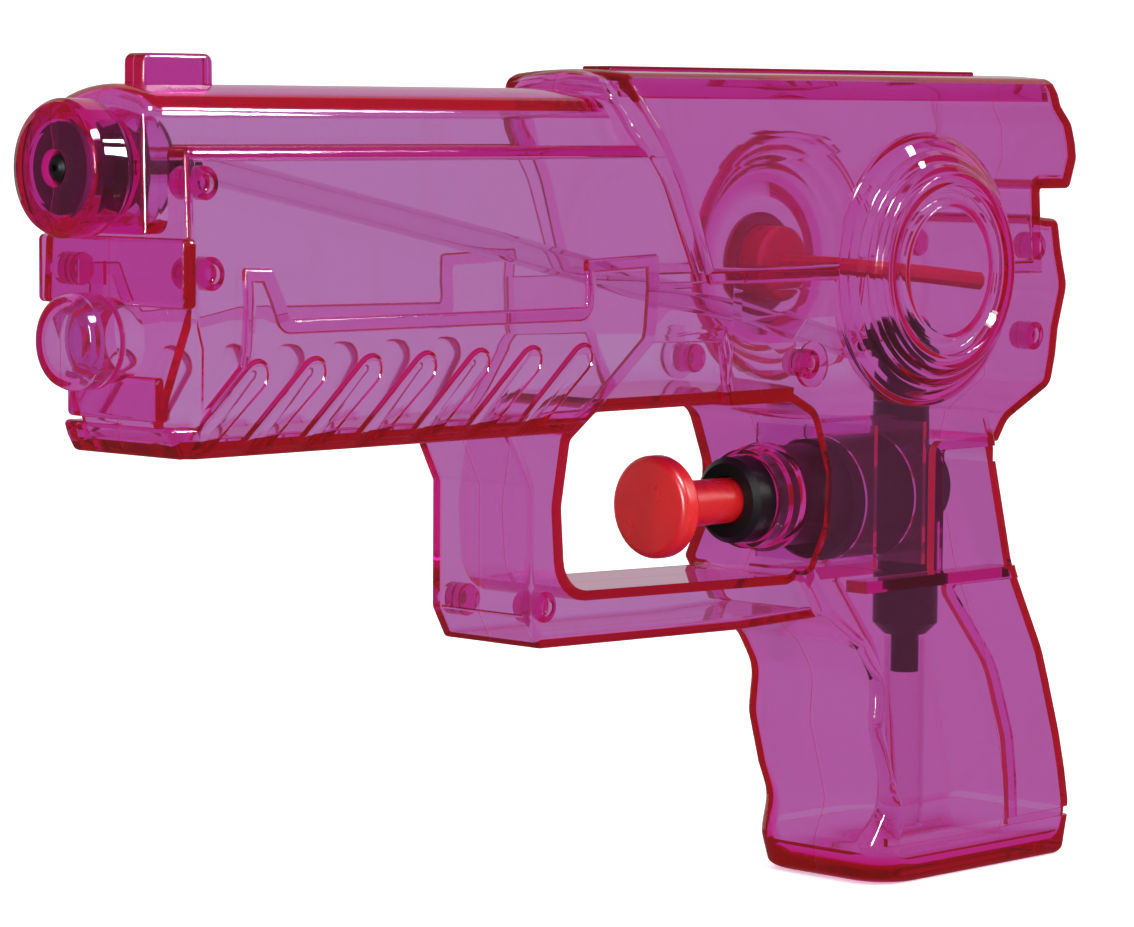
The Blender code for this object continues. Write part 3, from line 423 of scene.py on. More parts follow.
# Each part of the shell with its outline, widths, round edge and crown, then its wall across the gun,
# its wall along the outline, which is seen edge on from the side, and the round edge of the tank in it
SHELL_SLABS = [("fore", FORE, FORE_WIDTHS, 1.0, 0.0, WALL, 1.4, 0.6),
               ("nose", NOSE, NOSE_WIDTHS, 2.2, 2.1, WALL, 1.4, 1.0),
               ("collar", COLLAR, COLLAR_WIDTHS, 0.7, 0.6, SLIDE_WALL, 1.2, 0.8),
               ("slide", SLIDE, SLIDE_WIDTHS, 0.7, 0.6, SLIDE_WALL, 1.4, 1.0),
               ("frame", FRAME, FRAME_WIDTHS, 1.0, 0.0, SLIDE_WALL, 1.3, 1.0),
               ("guard", GUARD, GUARD_WIDTHS, 0.6, 0.0, WALL, 1.1, 0.8)]


def wider(widths, by):
    return [(z, w + by) for z, w in widths]


def span_at(points, z):
    """Front and back of an outline at a height."""
    places = []
    for a, b in zip(points, points[1:] + points[:1]):
        if (a.y - z) * (b.y - z) <= 0 and a.y != b.y:
            places.append(a.x + (b.x - a.x) * (z - a.y) / (b.y - a.y))
    return max(places), min(places)


def grip(shrink=0.0, floor=-BORE_HEIGHT, rim=None):
    """Sections with round corners, stacked from inside the frame down to the foot."""
    outline = rounded(inset(GRIP, rim or shrink) if shrink else GRIP)
    edge, fore, aft = GRIP_EDGE, GRIP_FRONT_CORNER, GRIP_BACK_CORNER
    if shrink >= GRIP_WALL:
        edge, fore, aft = INNER_FOOT, INNER_CORNER, INNER_CORNER
    toe_share = max(TOE_CORNER - fore, 0) / (TOE_START - floor)
    count = round((GRIP_TOP - floor - edge) / GRIP_STEP)
    levels = [(GRIP_TOP + (floor + edge - GRIP_TOP) * k / count, 0.0) for k in range(count)]
    levels += [(floor + edge * (1 - math.sin(a)), edge * (1 - math.cos(a))) for a in quarter(EDGE_STEPS)]
    rings = []
    for z, less in levels:
        front, back = span_at(outline, z)
        side = width_at(GRIP_WIDTHS, z) - shrink - less
        toe, heel = front - less * TOE_SHARE, back + less * HEEL_SHARE
        turn = fore + toe_share * max(TOE_START - z, 0)
        plan = [(toe, -side, turn), (toe, side, turn), (heel, side, aft), (heel, -side, aft)]
        rings.append([(p.x, p.y, z) for p in rounded(plan)])
    return loft("grip", rings)


def outer_body():
    fore, *rest = [slab(*row[:5]) for row in SHELL_SLABS]
    fore = cut(join(fore, side_panel()), front_chamfer(1), front_chamfer(-1))
    return join(fore, *rest, grip())


def inner_space():
    """The tank: every part again, one wall smaller all round."""
    solids = []
    for name, corners, widths, _, crown, wall, rim, edge in SHELL_SLABS:
        smaller = [(x, z, r if r > SQUARE_BELOW else 0) for x, z, r in inset(corners, rim)]
        solids.append(slab(name, smaller, wider(widths, -wall), edge, crown))
    fore = cut(solids[0], front_chamfer(1, WALL), front_chamfer(-1, WALL))
    return join(fore, *solids[1:], grip(GRIP_WALL, BASE_WALL - BORE_HEIGHT, GRIP_RIM))


def window(grow=0.0):
    return slab("window", inset(WINDOW, -grow) if grow else WINDOW, [(0, ASIDE), (BELOW, ASIDE)])


# Round features of the shell

MUZZLE_SEAT = (3, -12.2, 7.6)  # solid part of the muzzle round the nozzle
NOZZLE_MOUTH = (4, -4)
NOZZLE_TAIL = (-10, -18, 3.0)
GLAND_ROOM = (-141, -128)
LAMP_RADIUS = 6.3
LAMP_WALL = 1.0
LAMP_NECK = 0.7  # how much thinner it is at the body
MUZZLE_SOFT, LAMP_SOFT, BOSS_SOFT = 0.7, 0.8, 0.6  # their round edges


def muzzle_rings():
    front = [(FRONT_X - 0.4, 3.4), (FRONT_X, 4.8), (FRONT_X, 7.2), (1.3, 8.4), (0.2, 9.0), (-3.6, 9.0),
             (-4.6, 8.3), (-5.2, 7.6), (-6.2, 7.6), (-6.8, 8.3), (-8.4, 8.3), (-9.4, 7.6), (-14, 7.6)]
    return turned("muzzle_rings", softened(front, MUZZLE_SOFT), (0, 0, 0), "x")


def lamp(shrink=0.0):
    radius = LAMP_RADIUS - shrink
    neck = radius - LAMP_NECK
    front = LAMP_FRONT - shrink
    profile = [(front, radius - 1.6), (front - 0.5, radius - 0.5), (front - 1.6, radius), (-5.0, radius),
               (-5.6, neck), (-16, neck)]
    return turned("lamp", softened(profile, LAMP_SOFT), (0, 0, LIGHT_Z), "x")


def side_boss(side):
    """Stepped ring with a round lip; the left one is closed by a disc, the right one holds the plug."""
    profile = [(8, 20.8), (15.4, 20.8), (16.3, 19.6), (17.0, 18.1), (18.2, 17.4), (18.8, 16.2), (19.9, 15.7),
               (BOSS_LIP - 0.3, 14.6), (BOSS_LIP - 0.3, 13.0)]
    profile += [(19.5, 12.0), (19.5, 11.0), (LEFT_DISC, 10.0), (LEFT_DISC, 1.0)] if side > 0 else \
        [(BOSS_DISC, 10.4), (BOSS_DISC, 1.0)]
    return turned("boss", [(side * y, r) for y, r in softened(profile, BOSS_SOFT)], (BOSS_X, 0, BOSS_Z), "y")


def boss_room(side):
    """Room inside the boss, whose wall is even."""
    disc = (LEFT_DISC if side > 0 else BOSS_DISC) - DISC_WALL
    profile = [(8, 19.4), (14.2, 19.4), (15.2, 18.2), (16.0, 16.8), (17.2, 16.1), (17.7, 14.9), (18.8, 14.4)]
    profile += [(19.4, 13.6), (18.3, 12.4), (18.3, 10.6), (disc, 9.6), (disc, 1.0)] if side > 0 else \
        [(disc, 13.8), (disc, 1.0)]
    points = [(side * y, r) for y, r in softened(profile, BOSS_SOFT)]
    return turned("boss_room", points, (BOSS_X, 0, BOSS_Z), "y")


def sight():
    corners = [(-11.8, 9, 0), (-11.8, 14.9, 1.2), (-23.7, 14.9, 1.2), (-23.7, 9, 0)]
    return slab("sight", corners, [(15, 2.1), (9, 2.2)], 0.6)


def gland_collar():
    profile = [(-136.2, 8.6), (-135.0, 8.6), (-134.4, 8.0), (-132.9, 8.0), (-132.4, 7.5), (-130.4, 7.5)]
    return turned("gland_collar", profile, (0, 0, PUMP_Z), "x")


def bore_x(name, x0, x1, radius, z=0.0):
    return turned(name, [(x0, radius), (x1, radius)], (0, 0, z), "x")


def pump_rib(x):
    """Web across the tank that carries the pump, before the pump's room is cut out of it."""
    return box("pump_rib", (x - RIB / 2, -RIB_HALF, PUMP_Z - RIB_RISE),
               (x + RIB / 2, RIB_HALF, PUMP_Z + RIB_RISE))


# Plates that stand out from the shell
FRONT_PLATE = [(-7.7, -8.8, 0.8), (-10.0, -8.8, 0.8), (-10.0, -17.8, 0.8), (-7.7, -17.8, 0.8)]
FRONT_PLATE_HALF = 15.0
CHIN_PLATE = [(-7.9, -26.8, 0.8), (-10.4, -26.8, 0), (-10.4, -32.6, 0), (-7.9, -32.6, 0.8)]
CHIN_PLATE_HALF = 9.3
CHIN_FOOT = [(-8.8, -33.2, 0.6), (-26, -33.2, 0), (-26, -37.4, 0), (-10.4, -37.4, 1.0), (-9.3, -35.2, 1.0)]
CHIN_FOOT_WIDTHS = [(-33.2, 11.4), (-37.4, 11.0)]
TAB = ((-8.5, -5.8, -15.1), (-7.2, -0.6, -12.0))
BAND = [(-94.5, -16.5, 0), (-111.5, -16.5, 0), (-111.5, -25.6, 0), (-94.5, -25.1, 0)]
BAND_RISE = 0.4
TOP_RIB = [(-98, 12, 0), (-98, 14.2, 0.3), (-180.5, 14.2, 0.3), (-180.5, 12, 0)]
TOP_RIB_HALF = 3.0

# Rooms sunk into both sides, each with its depth
SIDE_REACH = [(BEYOND, ABOVE, 0), (BEHIND, ABOVE, 0), (BEHIND, BELOW, 0), (BEYOND, BELOW, 0)]
POCKET_HALF = 30
FRAME_POCKET = [(-112, -25.7, 0), (-124.9, -26.1, 0.6), (-127.9, -22.6, 0.6), (-136.9, -22.4, 1),
                (-140.0, -27.3, 2), (-147.5, -35.2, 0), (-112, -35.2, 0)]
FRAME_POCKET_DEPTH = 0.6
GRIP_POCKET = [(-162.3, -44.0, 0.6), (-190, -44.0, 0), (-190, -63.2, 0), (-162.3, -63.2, 0.8)]
GRIP_POCKET_DEPTH = 1.4
BACKSTRAP = [(-164.5, -65.2, 0.6), (-200, -65.2, 0), (-200, -103.2, 0), (-181.0, -103.2, 0),
             (-179.4, -90, 15), (-175, -77.8, 15)]
BACKSTRAP_DEPTH = 1.0
BASE_GROOVE = ((-200, -20, -104.4), (-150, 20, -103.2))
BASE_GROOVE_DEPTH = 0.5
NECK_NOTCH = ((-190, -20, -46.6), (-176.0, 20, -44.4))
PIN_RIM = (-129.8, -29.5, 3.4)
PIN_RIM_FACES = (12.8, 14.3)

# Blocks that the tank keeps clear of, and the ridge inside each side of the grip, as on the left
WINDOW_ROOF = ((-127, -20, -36), (-88, 20, WINDOW[1][1] + WINDOW_TOP))
FORE_FLOOR = ((-86, -20, FORE_FOOT), (0, 20, FORE_FOOT + FLOOR_WALL))
SLIDE_RAIL = ((-187, 9.6, 9.4), (-92, ASIDE, ABOVE))
GRIP_RIDGE = ((-180.2, 7.5, -65.1), (-145, 12.3, -63.3))

# Plane that takes off each lower front corner, as on the left
CHAMFER_FACING = (0.715, 0.638, -0.285)
CHAMFER_PLACE = (FRONT_FACE, 13.5, -18.9)
CHAMFER_SIZE = 30


def plate(name, corners, half, edge):
    return slab(name, corners, [(ABOVE, half), (BELOW, half)], edge)


def plates():
    return [plate("front_plate", FRONT_PLATE, FRONT_PLATE_HALF, 0.7),
            plate("chin_plate", CHIN_PLATE, CHIN_PLATE_HALF, 0.7), box("tab", *TAB),
            slab("chin_foot", CHIN_FOOT, CHIN_FOOT_WIDTHS, 0.8),
            slab("band", BAND, wider(FORE_WIDTHS, BAND_RISE), 0.3),
            plate("top_rib", TOP_RIB, TOP_RIB_HALF, 0.4)]


def sunk(name, corners, widths, depth):
    """The room inside an outline, from outside into both sides to an even depth."""
    room = slab(name, corners, [(ABOVE, POCKET_HALF), (BELOW, POCKET_HALF)])
    return cut(room, slab("floor", SIDE_REACH, wider(widths, -depth)))


def pockets(wall=0.0):
    """The sunk places, or with a wall the same places as the tank must keep clear of them."""
    rows = [("grip_pocket", GRIP_POCKET, GRIP_WIDTHS, GRIP_POCKET_DEPTH),
            ("backstrap", BACKSTRAP, GRIP_WIDTHS, BACKSTRAP_DEPTH)]
    if not wall:
        rows.append(("frame_pocket", FRAME_POCKET, FRAME_WIDTHS, FRAME_POCKET_DEPTH))
    return [sunk(name, inset(corners, -wall), widths, depth + wall) for name, corners, widths, depth in rows]


def base_groove():
    return cut(box("base_groove", *BASE_GROOVE), grip(BASE_GROOVE_DEPTH))


def front_chamfer(side, shrink=0.0):
    """Block that takes one lower front corner off along a slanted plane."""
    mirror = Matrix.Diagonal((1, side, 1))
    facing = (mirror @ Vector(CHAMFER_FACING)).normalized()
    start = mirror @ Vector(CHAMFER_PLACE) - facing * shrink
    u = facing.orthogonal().normalized() * CHAMFER_SIZE
    v = facing.cross(u)
    corners = ((-1, -1), (1, -1), (1, 1), (-1, 1))
    return loft("chamfer", [[start + u * a + v * b + facing * d for a, b in corners]
                            for d in (0, CHAMFER_SIZE)])


def pin_rims():
    x, z, radius = PIN_RIM
    inner, outer = PIN_RIM_FACES
    return [across("pin_rim", x, z, side * inner, side * outer, radius) for side in SIDES]


# Raised panel on each side of the fore-end, and the slanted grooves in it

PANEL = [(-17.7, -12.7, 0.6), (-22.5, -12.8, 0.6), (-25.7, -19.5, 0.6), (-80.8, -19.5, 0.6),
         (-80.6, -12.9, 0.6), (-95.4, -12.4, 0.6), (-95.2, -25, 0.6), (-88.0, -32.4, 0.6), (-84.3, -36.0, 0),
         (-10.8, -36.6, 0), (-10.8, -33.6, 0), (-17.7, -25.5, 0.6)]
PANEL_RIM = 1.7  # thick strip along the panel's outline
GROOVES = 7
GROOVE_TOP = (-20.6, -27.3)
GROOVE_PITCH = 10.07
GROOVE_RUN = (11.0, -12.0)
GROOVE_RADIUS = 2.2
GROOVE_DEPTH = 1.3
GROOVE_PLACES = [(i, side) for i in range(GROOVES) for side in SIDES]


def side_panel():
    return slab("panel", PANEL, wider(FORE_WIDTHS, PANEL_RISE), 0.5)


def panel_room():
    """The tank's part behind the raised panels."""
    return slab("panel_room", inset(PANEL, PANEL_RIM), wider(FORE_WIDTHS, PANEL_RISE - WALL), 0.4)


def panel_groove(i, side, grow=0.0):
    """Slanted scoop with a round top, cut to an even depth down one side of the panel."""
    radius = GROOVE_RADIUS + grow
    ends = []
    for k in (0, 1):
        x = GROOVE_TOP[0] - GROOVE_PITCH * i + GROOVE_RUN[0] * k
        z = GROOVE_TOP[1] + GROOVE_RUN[1] * k
        y = width_at(FORE_WIDTHS, z) + PANEL_RISE + GROOVE_RADIUS - GROOVE_DEPTH
        ends.append(Vector((x, side * y, z)))
    along = (ends[1] - ends[0]).normalized()
    out = along.cross(Vector((0, 0, 1))).normalized()
    up = out.cross(along)
    round_top = [math.pi / 2 * k / GROOVE_STEPS for k in range(1, GROOVE_STEPS)]
    rows = [(ends[0] - along * radius * math.cos(a), radius * math.sin(a)) for a in round_top]
    rows += [(end, radius) for end in ends]
    return loft("groove", [ring(centre, r, out, up, GROOVE_SIDES) for centre, r in rows])


# Short stubs inside both walls, each with a dimple outside, as (x, z, where it ends in the wall)
STUBS = [(-12.5, -1.8, 13.4), (-13.0, -13.4, 14.1), (-78.7, -62.0, 9.4), (-129.8, -29.5, 13.6),
         (-183.0, -13.0, 14.2), (-183.0, -27.0, 13.7)]
STUB_RADIUS = 2.2
STUB_LENGTH = 4.2
STUB_EDGE = 0.6
DIMPLE_RADIUS = 1.3
DIMPLE_FLOOR = 3.4  # left at the stub's inner end
DIMPLE_EDGE = 1.0
STUB_SIDES = [(x, z, end, side) for x, z, end in STUBS for side in SIDES]


def across(name, x, z, y0, y1, radius, sides=INNER_SIDES):
    """Round bar across the gun."""
    return turned(name, [(y0, radius), (y1, radius)], (x, 0, z), "y", sides=sides)


def soft_bar(name, x, z, y0, y1, radius, edge):
    """Round bar across the gun whose first end has a soft edge."""
    profile = softened([(y0, 0.2), (y0, radius), (y1, radius)], edge)
    return turned(name, profile, (x, 0, z), "y", sides=INNER_SIDES)


def stub(x, z, end, side):
    return soft_bar("stub", x, z, side * (end - STUB_LENGTH), side * end, STUB_RADIUS, STUB_EDGE)


def dimple(x, z, end, side):
    floor = end - STUB_LENGTH + DIMPLE_FLOOR
    return soft_bar("dimple", x, z, side * floor, side * ASIDE, DIMPLE_RADIUS, DIMPLE_EDGE)


def outside():
    """The whole gun without its tank."""
    body = cut(outer_body(), *pockets(), base_groove(), box("neck_notch", *NECK_NOTCH),
               *[panel_groove(i, side) for i, side in GROOVE_PLACES])
    body = join(body, *plates(), *pin_rims(), muzzle_rings(), lamp(), side_boss(1), side_boss(-1), sight())
    return cut(body, window())


def tank():
    space = cut(inner_space(), *pockets(GRIP_WALL))
    space = join(space, panel_room(), lamp(LAMP_WALL), boss_room(1), boss_room(-1))
    return cut(space, window(WINDOW_WALL), bore_x("muzzle_seat", *MUZZLE_SEAT),
               box("window_roof", *WINDOW_ROOF), box("fore_floor", *FORE_FLOOR),
               *[side_box("slide_rail", side, *SLIDE_RAIL) for side in SIDES],
               *[panel_groove(i, side, WALL) for i, side in GROOVE_PLACES])


def whole_shell():
    """Both halves in one, with their webs, stubs and ridges, and with room for the pump and the nozzle."""
    shell = cut(outside(), tank())
    shell = join(shell, *[pump_rib(x) for x in PUMP_RIBS],
                 *[side_box("ridge", side, *GRIP_RIDGE) for side in SIDES], gland_collar(),
                 *[stub(*row) for row in STUB_SIDES])
    shell = cut(shell, *[dimple(*row) for row in STUB_SIDES])
    return cut(shell, bore_x("gland_bore", *GLAND_ROOM, GLAND_RADIUS + FIT, PUMP_Z),
               bore_x("pump_bore", PUMP_FRONT + FIT, PUMP_BACK - FIT, PUMP_RADIUS + FIT, PUMP_Z),
               bore_x("barrel_bore", BARREL_FRONT + FIT, BARREL_BACK - FIT, BARREL_RADIUS + FIT, BARREL_Z),
               bore_x("nozzle_mouth", *NOZZLE_MOUTH, TIP_RADIUS + FIT),
               bore_x("nozzle_bore", NOZZLE_FRONT + FIT, NOZZLE_BACK - FIT, NOZZLE_RADIUS + FIT),
               bore_x("nozzle_tail", *NOZZLE_TAIL))


def half(shell, side):
    """One half of the shell, cut off at the seam."""
    block = side_box("half", side, (BEHIND, SEAM_GAP / 2, BELOW), (BEYOND, ASIDE, ABOVE))
    return combine("INTERSECT", copy_of(shell), [block])


def right_half(shell):
    return cut(half(shell, -1), across("filler_hole", BOSS_X, BOSS_Z, -15, -25, FILLER_HOLE, ROUND_SIDES))


# Pieces inside the shell

def smooth(points, steps):
    """Points of a smooth curve through the given ones."""
    ends = [points[0] * 2 - points[1], *points, points[-1] * 2 - points[-2]]
    out = []
    for p0, p1, p2, p3 in zip(ends, ends[1:], ends[2:], ends[3:]):
        for k in range(steps):
            t = k / steps
            out.append(0.5 * (2 * p1 + (p2 - p0) * t + (2 * p0 - 5 * p1 + 4 * p2 - p3) * t * t
                              + (3 * p1 - p0 - 3 * p2 + p3) * t ** 3))
    return out + [points[-1]]


def rings_along(points, radius, sides):
    rings = []
    for i, here in enumerate(points):
        ahead = (points[min(i + 1, len(points) - 1)] - points[max(i - 1, 0)]).normalized()
        out = ahead.cross(Vector((0, 0, 1))).normalized()
        rings.append(ring(here, radius, out, out.cross(ahead), sides))
    return rings


def hose(name, points, radius, bore, sides):
    """Tube along a path with its bore open at both ends."""
    inside = rings_along(points, bore, sides)[::-1]
    return loft(name, rings_along(points, radius, sides) + inside, closed=True)


def nozzle():
    """Tip and disc, a hub with the seal's seat, and a barb for the hose, bored through."""
    back = HOSE_FRONT + FIT
    seat_front, seat_back, seat = SEAL_SEAT
    profile = [(TIP_FRONT, BARB_BORE), (TIP_FRONT, 0.9), (0.9, 1.65), (0.1, TIP_RADIUS),
               (NOZZLE_FRONT, TIP_RADIUS), (NOZZLE_FRONT, NOZZLE_RADIUS), (NOZZLE_DISC, NOZZLE_RADIUS),
               (NOZZLE_DISC, HUB_RADIUS), (seat_front, HUB_RADIUS), (seat_front, seat), (seat_back, seat),
               (seat_back, HUB_RADIUS), (back, HUB_RADIUS), (back, BARB_RADIUS), (BARB_END, BARB_RADIUS),
               (BARB_END, BARB_BORE)]
    return turned("nozzle", profile, (0, 0, 0), "x", closed=True, sides=INNER_SIDES)


def gland():
    hole = ROD_RADIUS + FIT
    profile = [(GLAND_FRONT, hole), (GLAND_FRONT, GLAND_FACE), (GLAND_FRONT - GLAND_EDGE, GLAND_RADIUS),
               (GLAND_BACK, GLAND_RADIUS), (GLAND_BACK, hole)]
    return turned("gland", profile, (0, 0, PUMP_Z), "x", closed=True)


def upright(name, x, z0, z1, radius, sides=INNER_SIDES):
    return turned(name, [(z0, radius), (z1, radius)], (x, 0, 0), "z", sides=sides)


def pump():
    """Barrel with a thick middle and two necks, bored for the gland, the piston and both valves."""
    edge = PUMP_EDGE
    outline = [(PUMP_FRONT, PUMP_RADIUS), (BARREL_BACK, PUMP_RADIUS), (BARREL_BACK, PUMP_END),
               (PUMP_BACK + edge, PUMP_END), (PUMP_BACK, PUMP_END - edge)]
    middle = [(BARREL_FRONT, BARREL_RADIUS - edge), (BARREL_FRONT - edge, BARREL_RADIUS),
              (BARREL_BACK + edge, BARREL_RADIUS), (BARREL_BACK, BARREL_RADIUS - edge)]
    body = turned("pump", outline, (0, 0, PUMP_Z), "x")
    barrel = turned("barrel", middle, (0, 0, BARREL_Z), "x")
    necks = [(INLET_X, -1), (OUTLET_X, 1)]
    body = join(body, barrel, *[upright("neck", x, PUMP_Z, PUMP_Z + way * NECK_END, NECK_RADIUS)
                                for x, way in necks])
    ports = [upright("port", x, PUMP_Z, PUMP_Z + way * (NECK_SEAT + 1), VALVE_PORT, PORT_SIDES)
             for x, way in necks]
    sockets = [upright("socket", x, PUMP_Z + way * NECK_SEAT, PUMP_Z + way * (NECK_END + 1), NECK_BORE)
               for x, way in necks]
    return cut(body, bore_x("counterbore", PUMP_FRONT + 1, PUMP_SHOULDER, GLAND_RADIUS + FIT, PUMP_Z),
               bore_x("bore", PUMP_SHOULDER + 1, PUMP_FLOOR, PUMP_BORE, PUMP_Z), *ports, *sockets)


# Valve fittings in the pump's necks
SPIGOT_RADIUS = NECK_BORE - FIT
SEAL_THICK = 0.9
INLET_SEAT = PUMP_Z - NECK_SEAT
OUTLET_SEAT = PUMP_Z + NECK_SEAT
HOUSING_TOP = PUMP_Z - NECK_END - FIT
ELBOW_FOOT = PUMP_Z + NECK_END + FIT
SPIGOT_GAP = SEAL_THICK + 2 * FIT
SEAT_BEVEL = 0.4
INLET_SEAT_Z = -70.0  # where its ball rests
INLET_CEILING = -65.5
HOUSING_RADIUS = 5.1
HOUSING_END = -74.0
INLET_STUB = (-80.0, 2.2)  # end and radius of the stub for the suction tube
OUTLET_BALL_Z = OUTLET_SEAT + 1.35  # middle of the resting ball
OUTLET_CEILING = -33.0
ELBOW_TOP = -24.5
ELBOW_EDGE = 0.8
ELBOW_ARM = 2.6  # radius of its arm to the hose
ELBOW_MOUTH = HOSE_BACK - FIT
ELBOW_BARB = -156.5  # end of its barb


def inlet_fitting():
    """Valve housing under the pump, with its ball room and a stub for the suction tube."""
    top = INLET_SEAT - SPIGOT_GAP
    end, stub_radius = INLET_STUB
    profile = [(top, VALVE_PORT), (top, SPIGOT_RADIUS), (HOUSING_TOP, SPIGOT_RADIUS),
               (HOUSING_TOP, HOUSING_RADIUS), (-72.2, HOUSING_RADIUS), (HOUSING_END, 3.3),
               (HOUSING_END, stub_radius), (end, stub_radius), (end, VALVE_PORT), (INLET_SEAT_Z, VALVE_PORT),
               (INLET_SEAT_Z + SEAT_BEVEL, VALVE_ROOM), (INLET_CEILING, VALVE_ROOM),
               (INLET_CEILING + SEAT_BEVEL, VALVE_PORT)]
    return turned("inlet", profile, (INLET_X, 0, 0), "z", closed=True, sides=INNER_SIDES)


def elbow():
    """Outlet bend over the pump: ball room below, hose barb to the front."""
    foot = OUTLET_SEAT + SPIGOT_GAP
    outline = [(foot, SPIGOT_RADIUS), (ELBOW_FOOT, SPIGOT_RADIUS), (ELBOW_FOOT, NECK_RADIUS),
               (ELBOW_TOP - ELBOW_EDGE, NECK_RADIUS), (ELBOW_TOP, NECK_RADIUS - ELBOW_EDGE)]
    arm = [(OUTLET_X, ELBOW_ARM), (ELBOW_MOUTH, ELBOW_ARM), (ELBOW_MOUTH, BARB_RADIUS),
           (ELBOW_BARB, BARB_RADIUS)]
    way = [(OUTLET_X, BARB_BORE), (ELBOW_BARB + 0.5, BARB_BORE)]
    body = turned("elbow", outline, (OUTLET_X, 0, 0), "z", sides=INNER_SIDES)
    body = join(body, turned("arm", arm, (0, 0, ELBOW_BARB_Z), "x", sides=ROOM_SIDES))
    return cut(body, upright("room", OUTLET_X, foot - 1, OUTLET_CEILING, VALVE_ROOM, ROOM_SIDES),
               upright("riser", OUTLET_X, OUTLET_CEILING - 1, ELBOW_BARB_Z + 1, VALVE_PORT, PORT_SIDES),
               turned("way", way, (0, 0, ELBOW_BARB_Z), "x", sides=PORT_SIDES))


# Middle lines of the hose, as (x, z), and of the plug's tail
HOSE_ROUTE = [(HOSE_FRONT, 0), (-22.6, -0.05), (-31, -1.6), (-64, -8.4), (-97, -15.5), (-148, -26.8),
              (-156.8, ELBOW_BARB_Z), (HOSE_BACK, ELBOW_BARB_Z)]
TAIL_ROUTE = [(BOSS_X, -15.0, BOSS_Z), (-154.8, -9, -16), (-155.8, -3, -16.1), (-158.5, 3, -16.5),
              (-164.5, 8, -17.3), (-172.5, 10.4, -18.3)]


def plug():
    """Soft stopper in the right-hand boss, with a captive tail that lies in the tank."""
    stem = FILLER_HOLE - FIT
    outer = BOSS_LIP - FIT
    seat = BOSS_DISC + FIT
    profile = [(-outer, PLUG_FACE), (-outer + PLUG_EDGE, PLUG_RADIUS), (-seat, PLUG_RADIUS), (-seat, stem),
               (-14.6, stem), (-14.0, 5.3)]
    body = turned("plug", profile, (BOSS_X, 0, BOSS_Z), "y", sides=INNER_SIDES)
    route = smooth([Vector(p) for p in TAIL_ROUTE], TAIL_STEPS)
    return join(body, loft("tail", rings_along(route, TAIL_RADIUS, TAIL_SIDES)))


# Trigger: radii of the disc's two round edges and of the cone behind it, and the piston's groove
RIM_FRONT, RIM_BACK, ROD_CONE = 1.2, 0.7, 1.5
HEAD_THICK = 3.3
PISTON_GROOVE = (-143.3, -145.7, 4.6)
SPRING_PEG = (3.5, 0.6)  # radius and edge of the peg inside the spring
PEG_BACK = PISTON_BACK - 5.4


def plunger():
    """Trigger disc with round edges, its rod, and the piston with a groove for its seal."""
    head_back = HEAD_FRONT - HEAD_THICK
    groove_front, groove_back, groove = PISTON_GROOVE
    peg, edge = SPRING_PEG
    piston = PUMP_BORE - FIT
    face = [(HEAD_FRONT, 0.2), (HEAD_FRONT, 2.5), (HEAD_FRONT - 0.02, 4.6)]
    front = [(HEAD_FRONT - RIM_FRONT * (1 - math.cos(a)), HEAD_RADIUS - RIM_FRONT * (1 - math.sin(a)))
             for a in quarter(8)]
    back = [(head_back + RIM_BACK * (1 - math.sin(a)), HEAD_RADIUS - RIM_BACK * (1 - math.cos(a)))
            for a in quarter(5)]
    cone = [(head_back, ROD_RADIUS + ROD_CONE), (head_back - ROD_CONE, ROD_RADIUS)]
    tail = [(PUMP_SHOULDER, ROD_RADIUS), (PUMP_SHOULDER, piston), (groove_front, piston),
            (groove_front, groove), (groove_back, groove), (groove_back, piston), (PISTON_BACK, piston),
            (PISTON_BACK, peg), (PEG_BACK + edge, peg), (PEG_BACK, peg - edge)]
    return turned("plunger", face + front + back + cone + tail, (0, 0, PUMP_Z), "x", sides=HEAD_SIDES)


# Springs, as (coil radius, wire radius, turns)
RETURN_COIL = (4.4, 0.4, 7)
VALVE_COIL = (1.2, 0.17, 3)
SPRING_END = PUMP_FLOOR + FIT
VALVE_SPRING_TOP = OUTLET_CEILING - FIT
COIL_STEPS, WIRE_SIDES = 32, 10


def coil_spring(name, start, end, coil, centre, axis):
    """Round wire wound round an axis, with its ends just inside the two limits."""
    radius, wire, turns = coil
    way = math.copysign(wire, end - start)
    count = turns * COIL_STEPS
    rings = []
    for k in range(count + 1):
        turn = 2 * math.pi * k / COIL_STEPS
        along = start + way + (end - start - 2 * way) * k / count
        u, v = math.cos(turn), math.sin(turn)
        out, ahead, onward = [Vector({"x": (a, b, c), "z": (b, c, a)}[axis])
                              for a, b, c in ((0, u, v), (0, -v, u), (1, 0, 0))]
        middle = Vector(centre) + onward * along + out * radius
        heading = (ahead * radius * 2 * math.pi * turns + onward * (end - start)).normalized()
        rings.append(ring(middle, wire, out, heading.cross(out), WIRE_SIDES, 0))
    return loft(name, rings)


# Materials

NOISE_RANGE = (0.3, 0.7)  # between these lies most of a noise texture
POLISH_SCALE, TONE_SCALE = 90, 140
TONES = (0.95, 1.05)
PAINTED_GLOW_COLOUR = (1.0, 0.3, 0.32)  # colour of the faint painted glow of the magenta plastic, an emission that stands in for light scattered in it


def put(node, **values):
    """Set a node's inputs, named with _ for each space."""
    for name, value in values.items():
        node.inputs[name.replace("_", " ")].default_value = value


def principled(name, colour, roughness, metallic=0.0):
    material = bpy.data.materials.new(name)
    material.use_nodes = True
    shader = material.node_tree.nodes["Principled BSDF"]
    put(shader, Base_Color=(*colour, 1), Roughness=roughness, Metallic=metallic)
    return material, shader


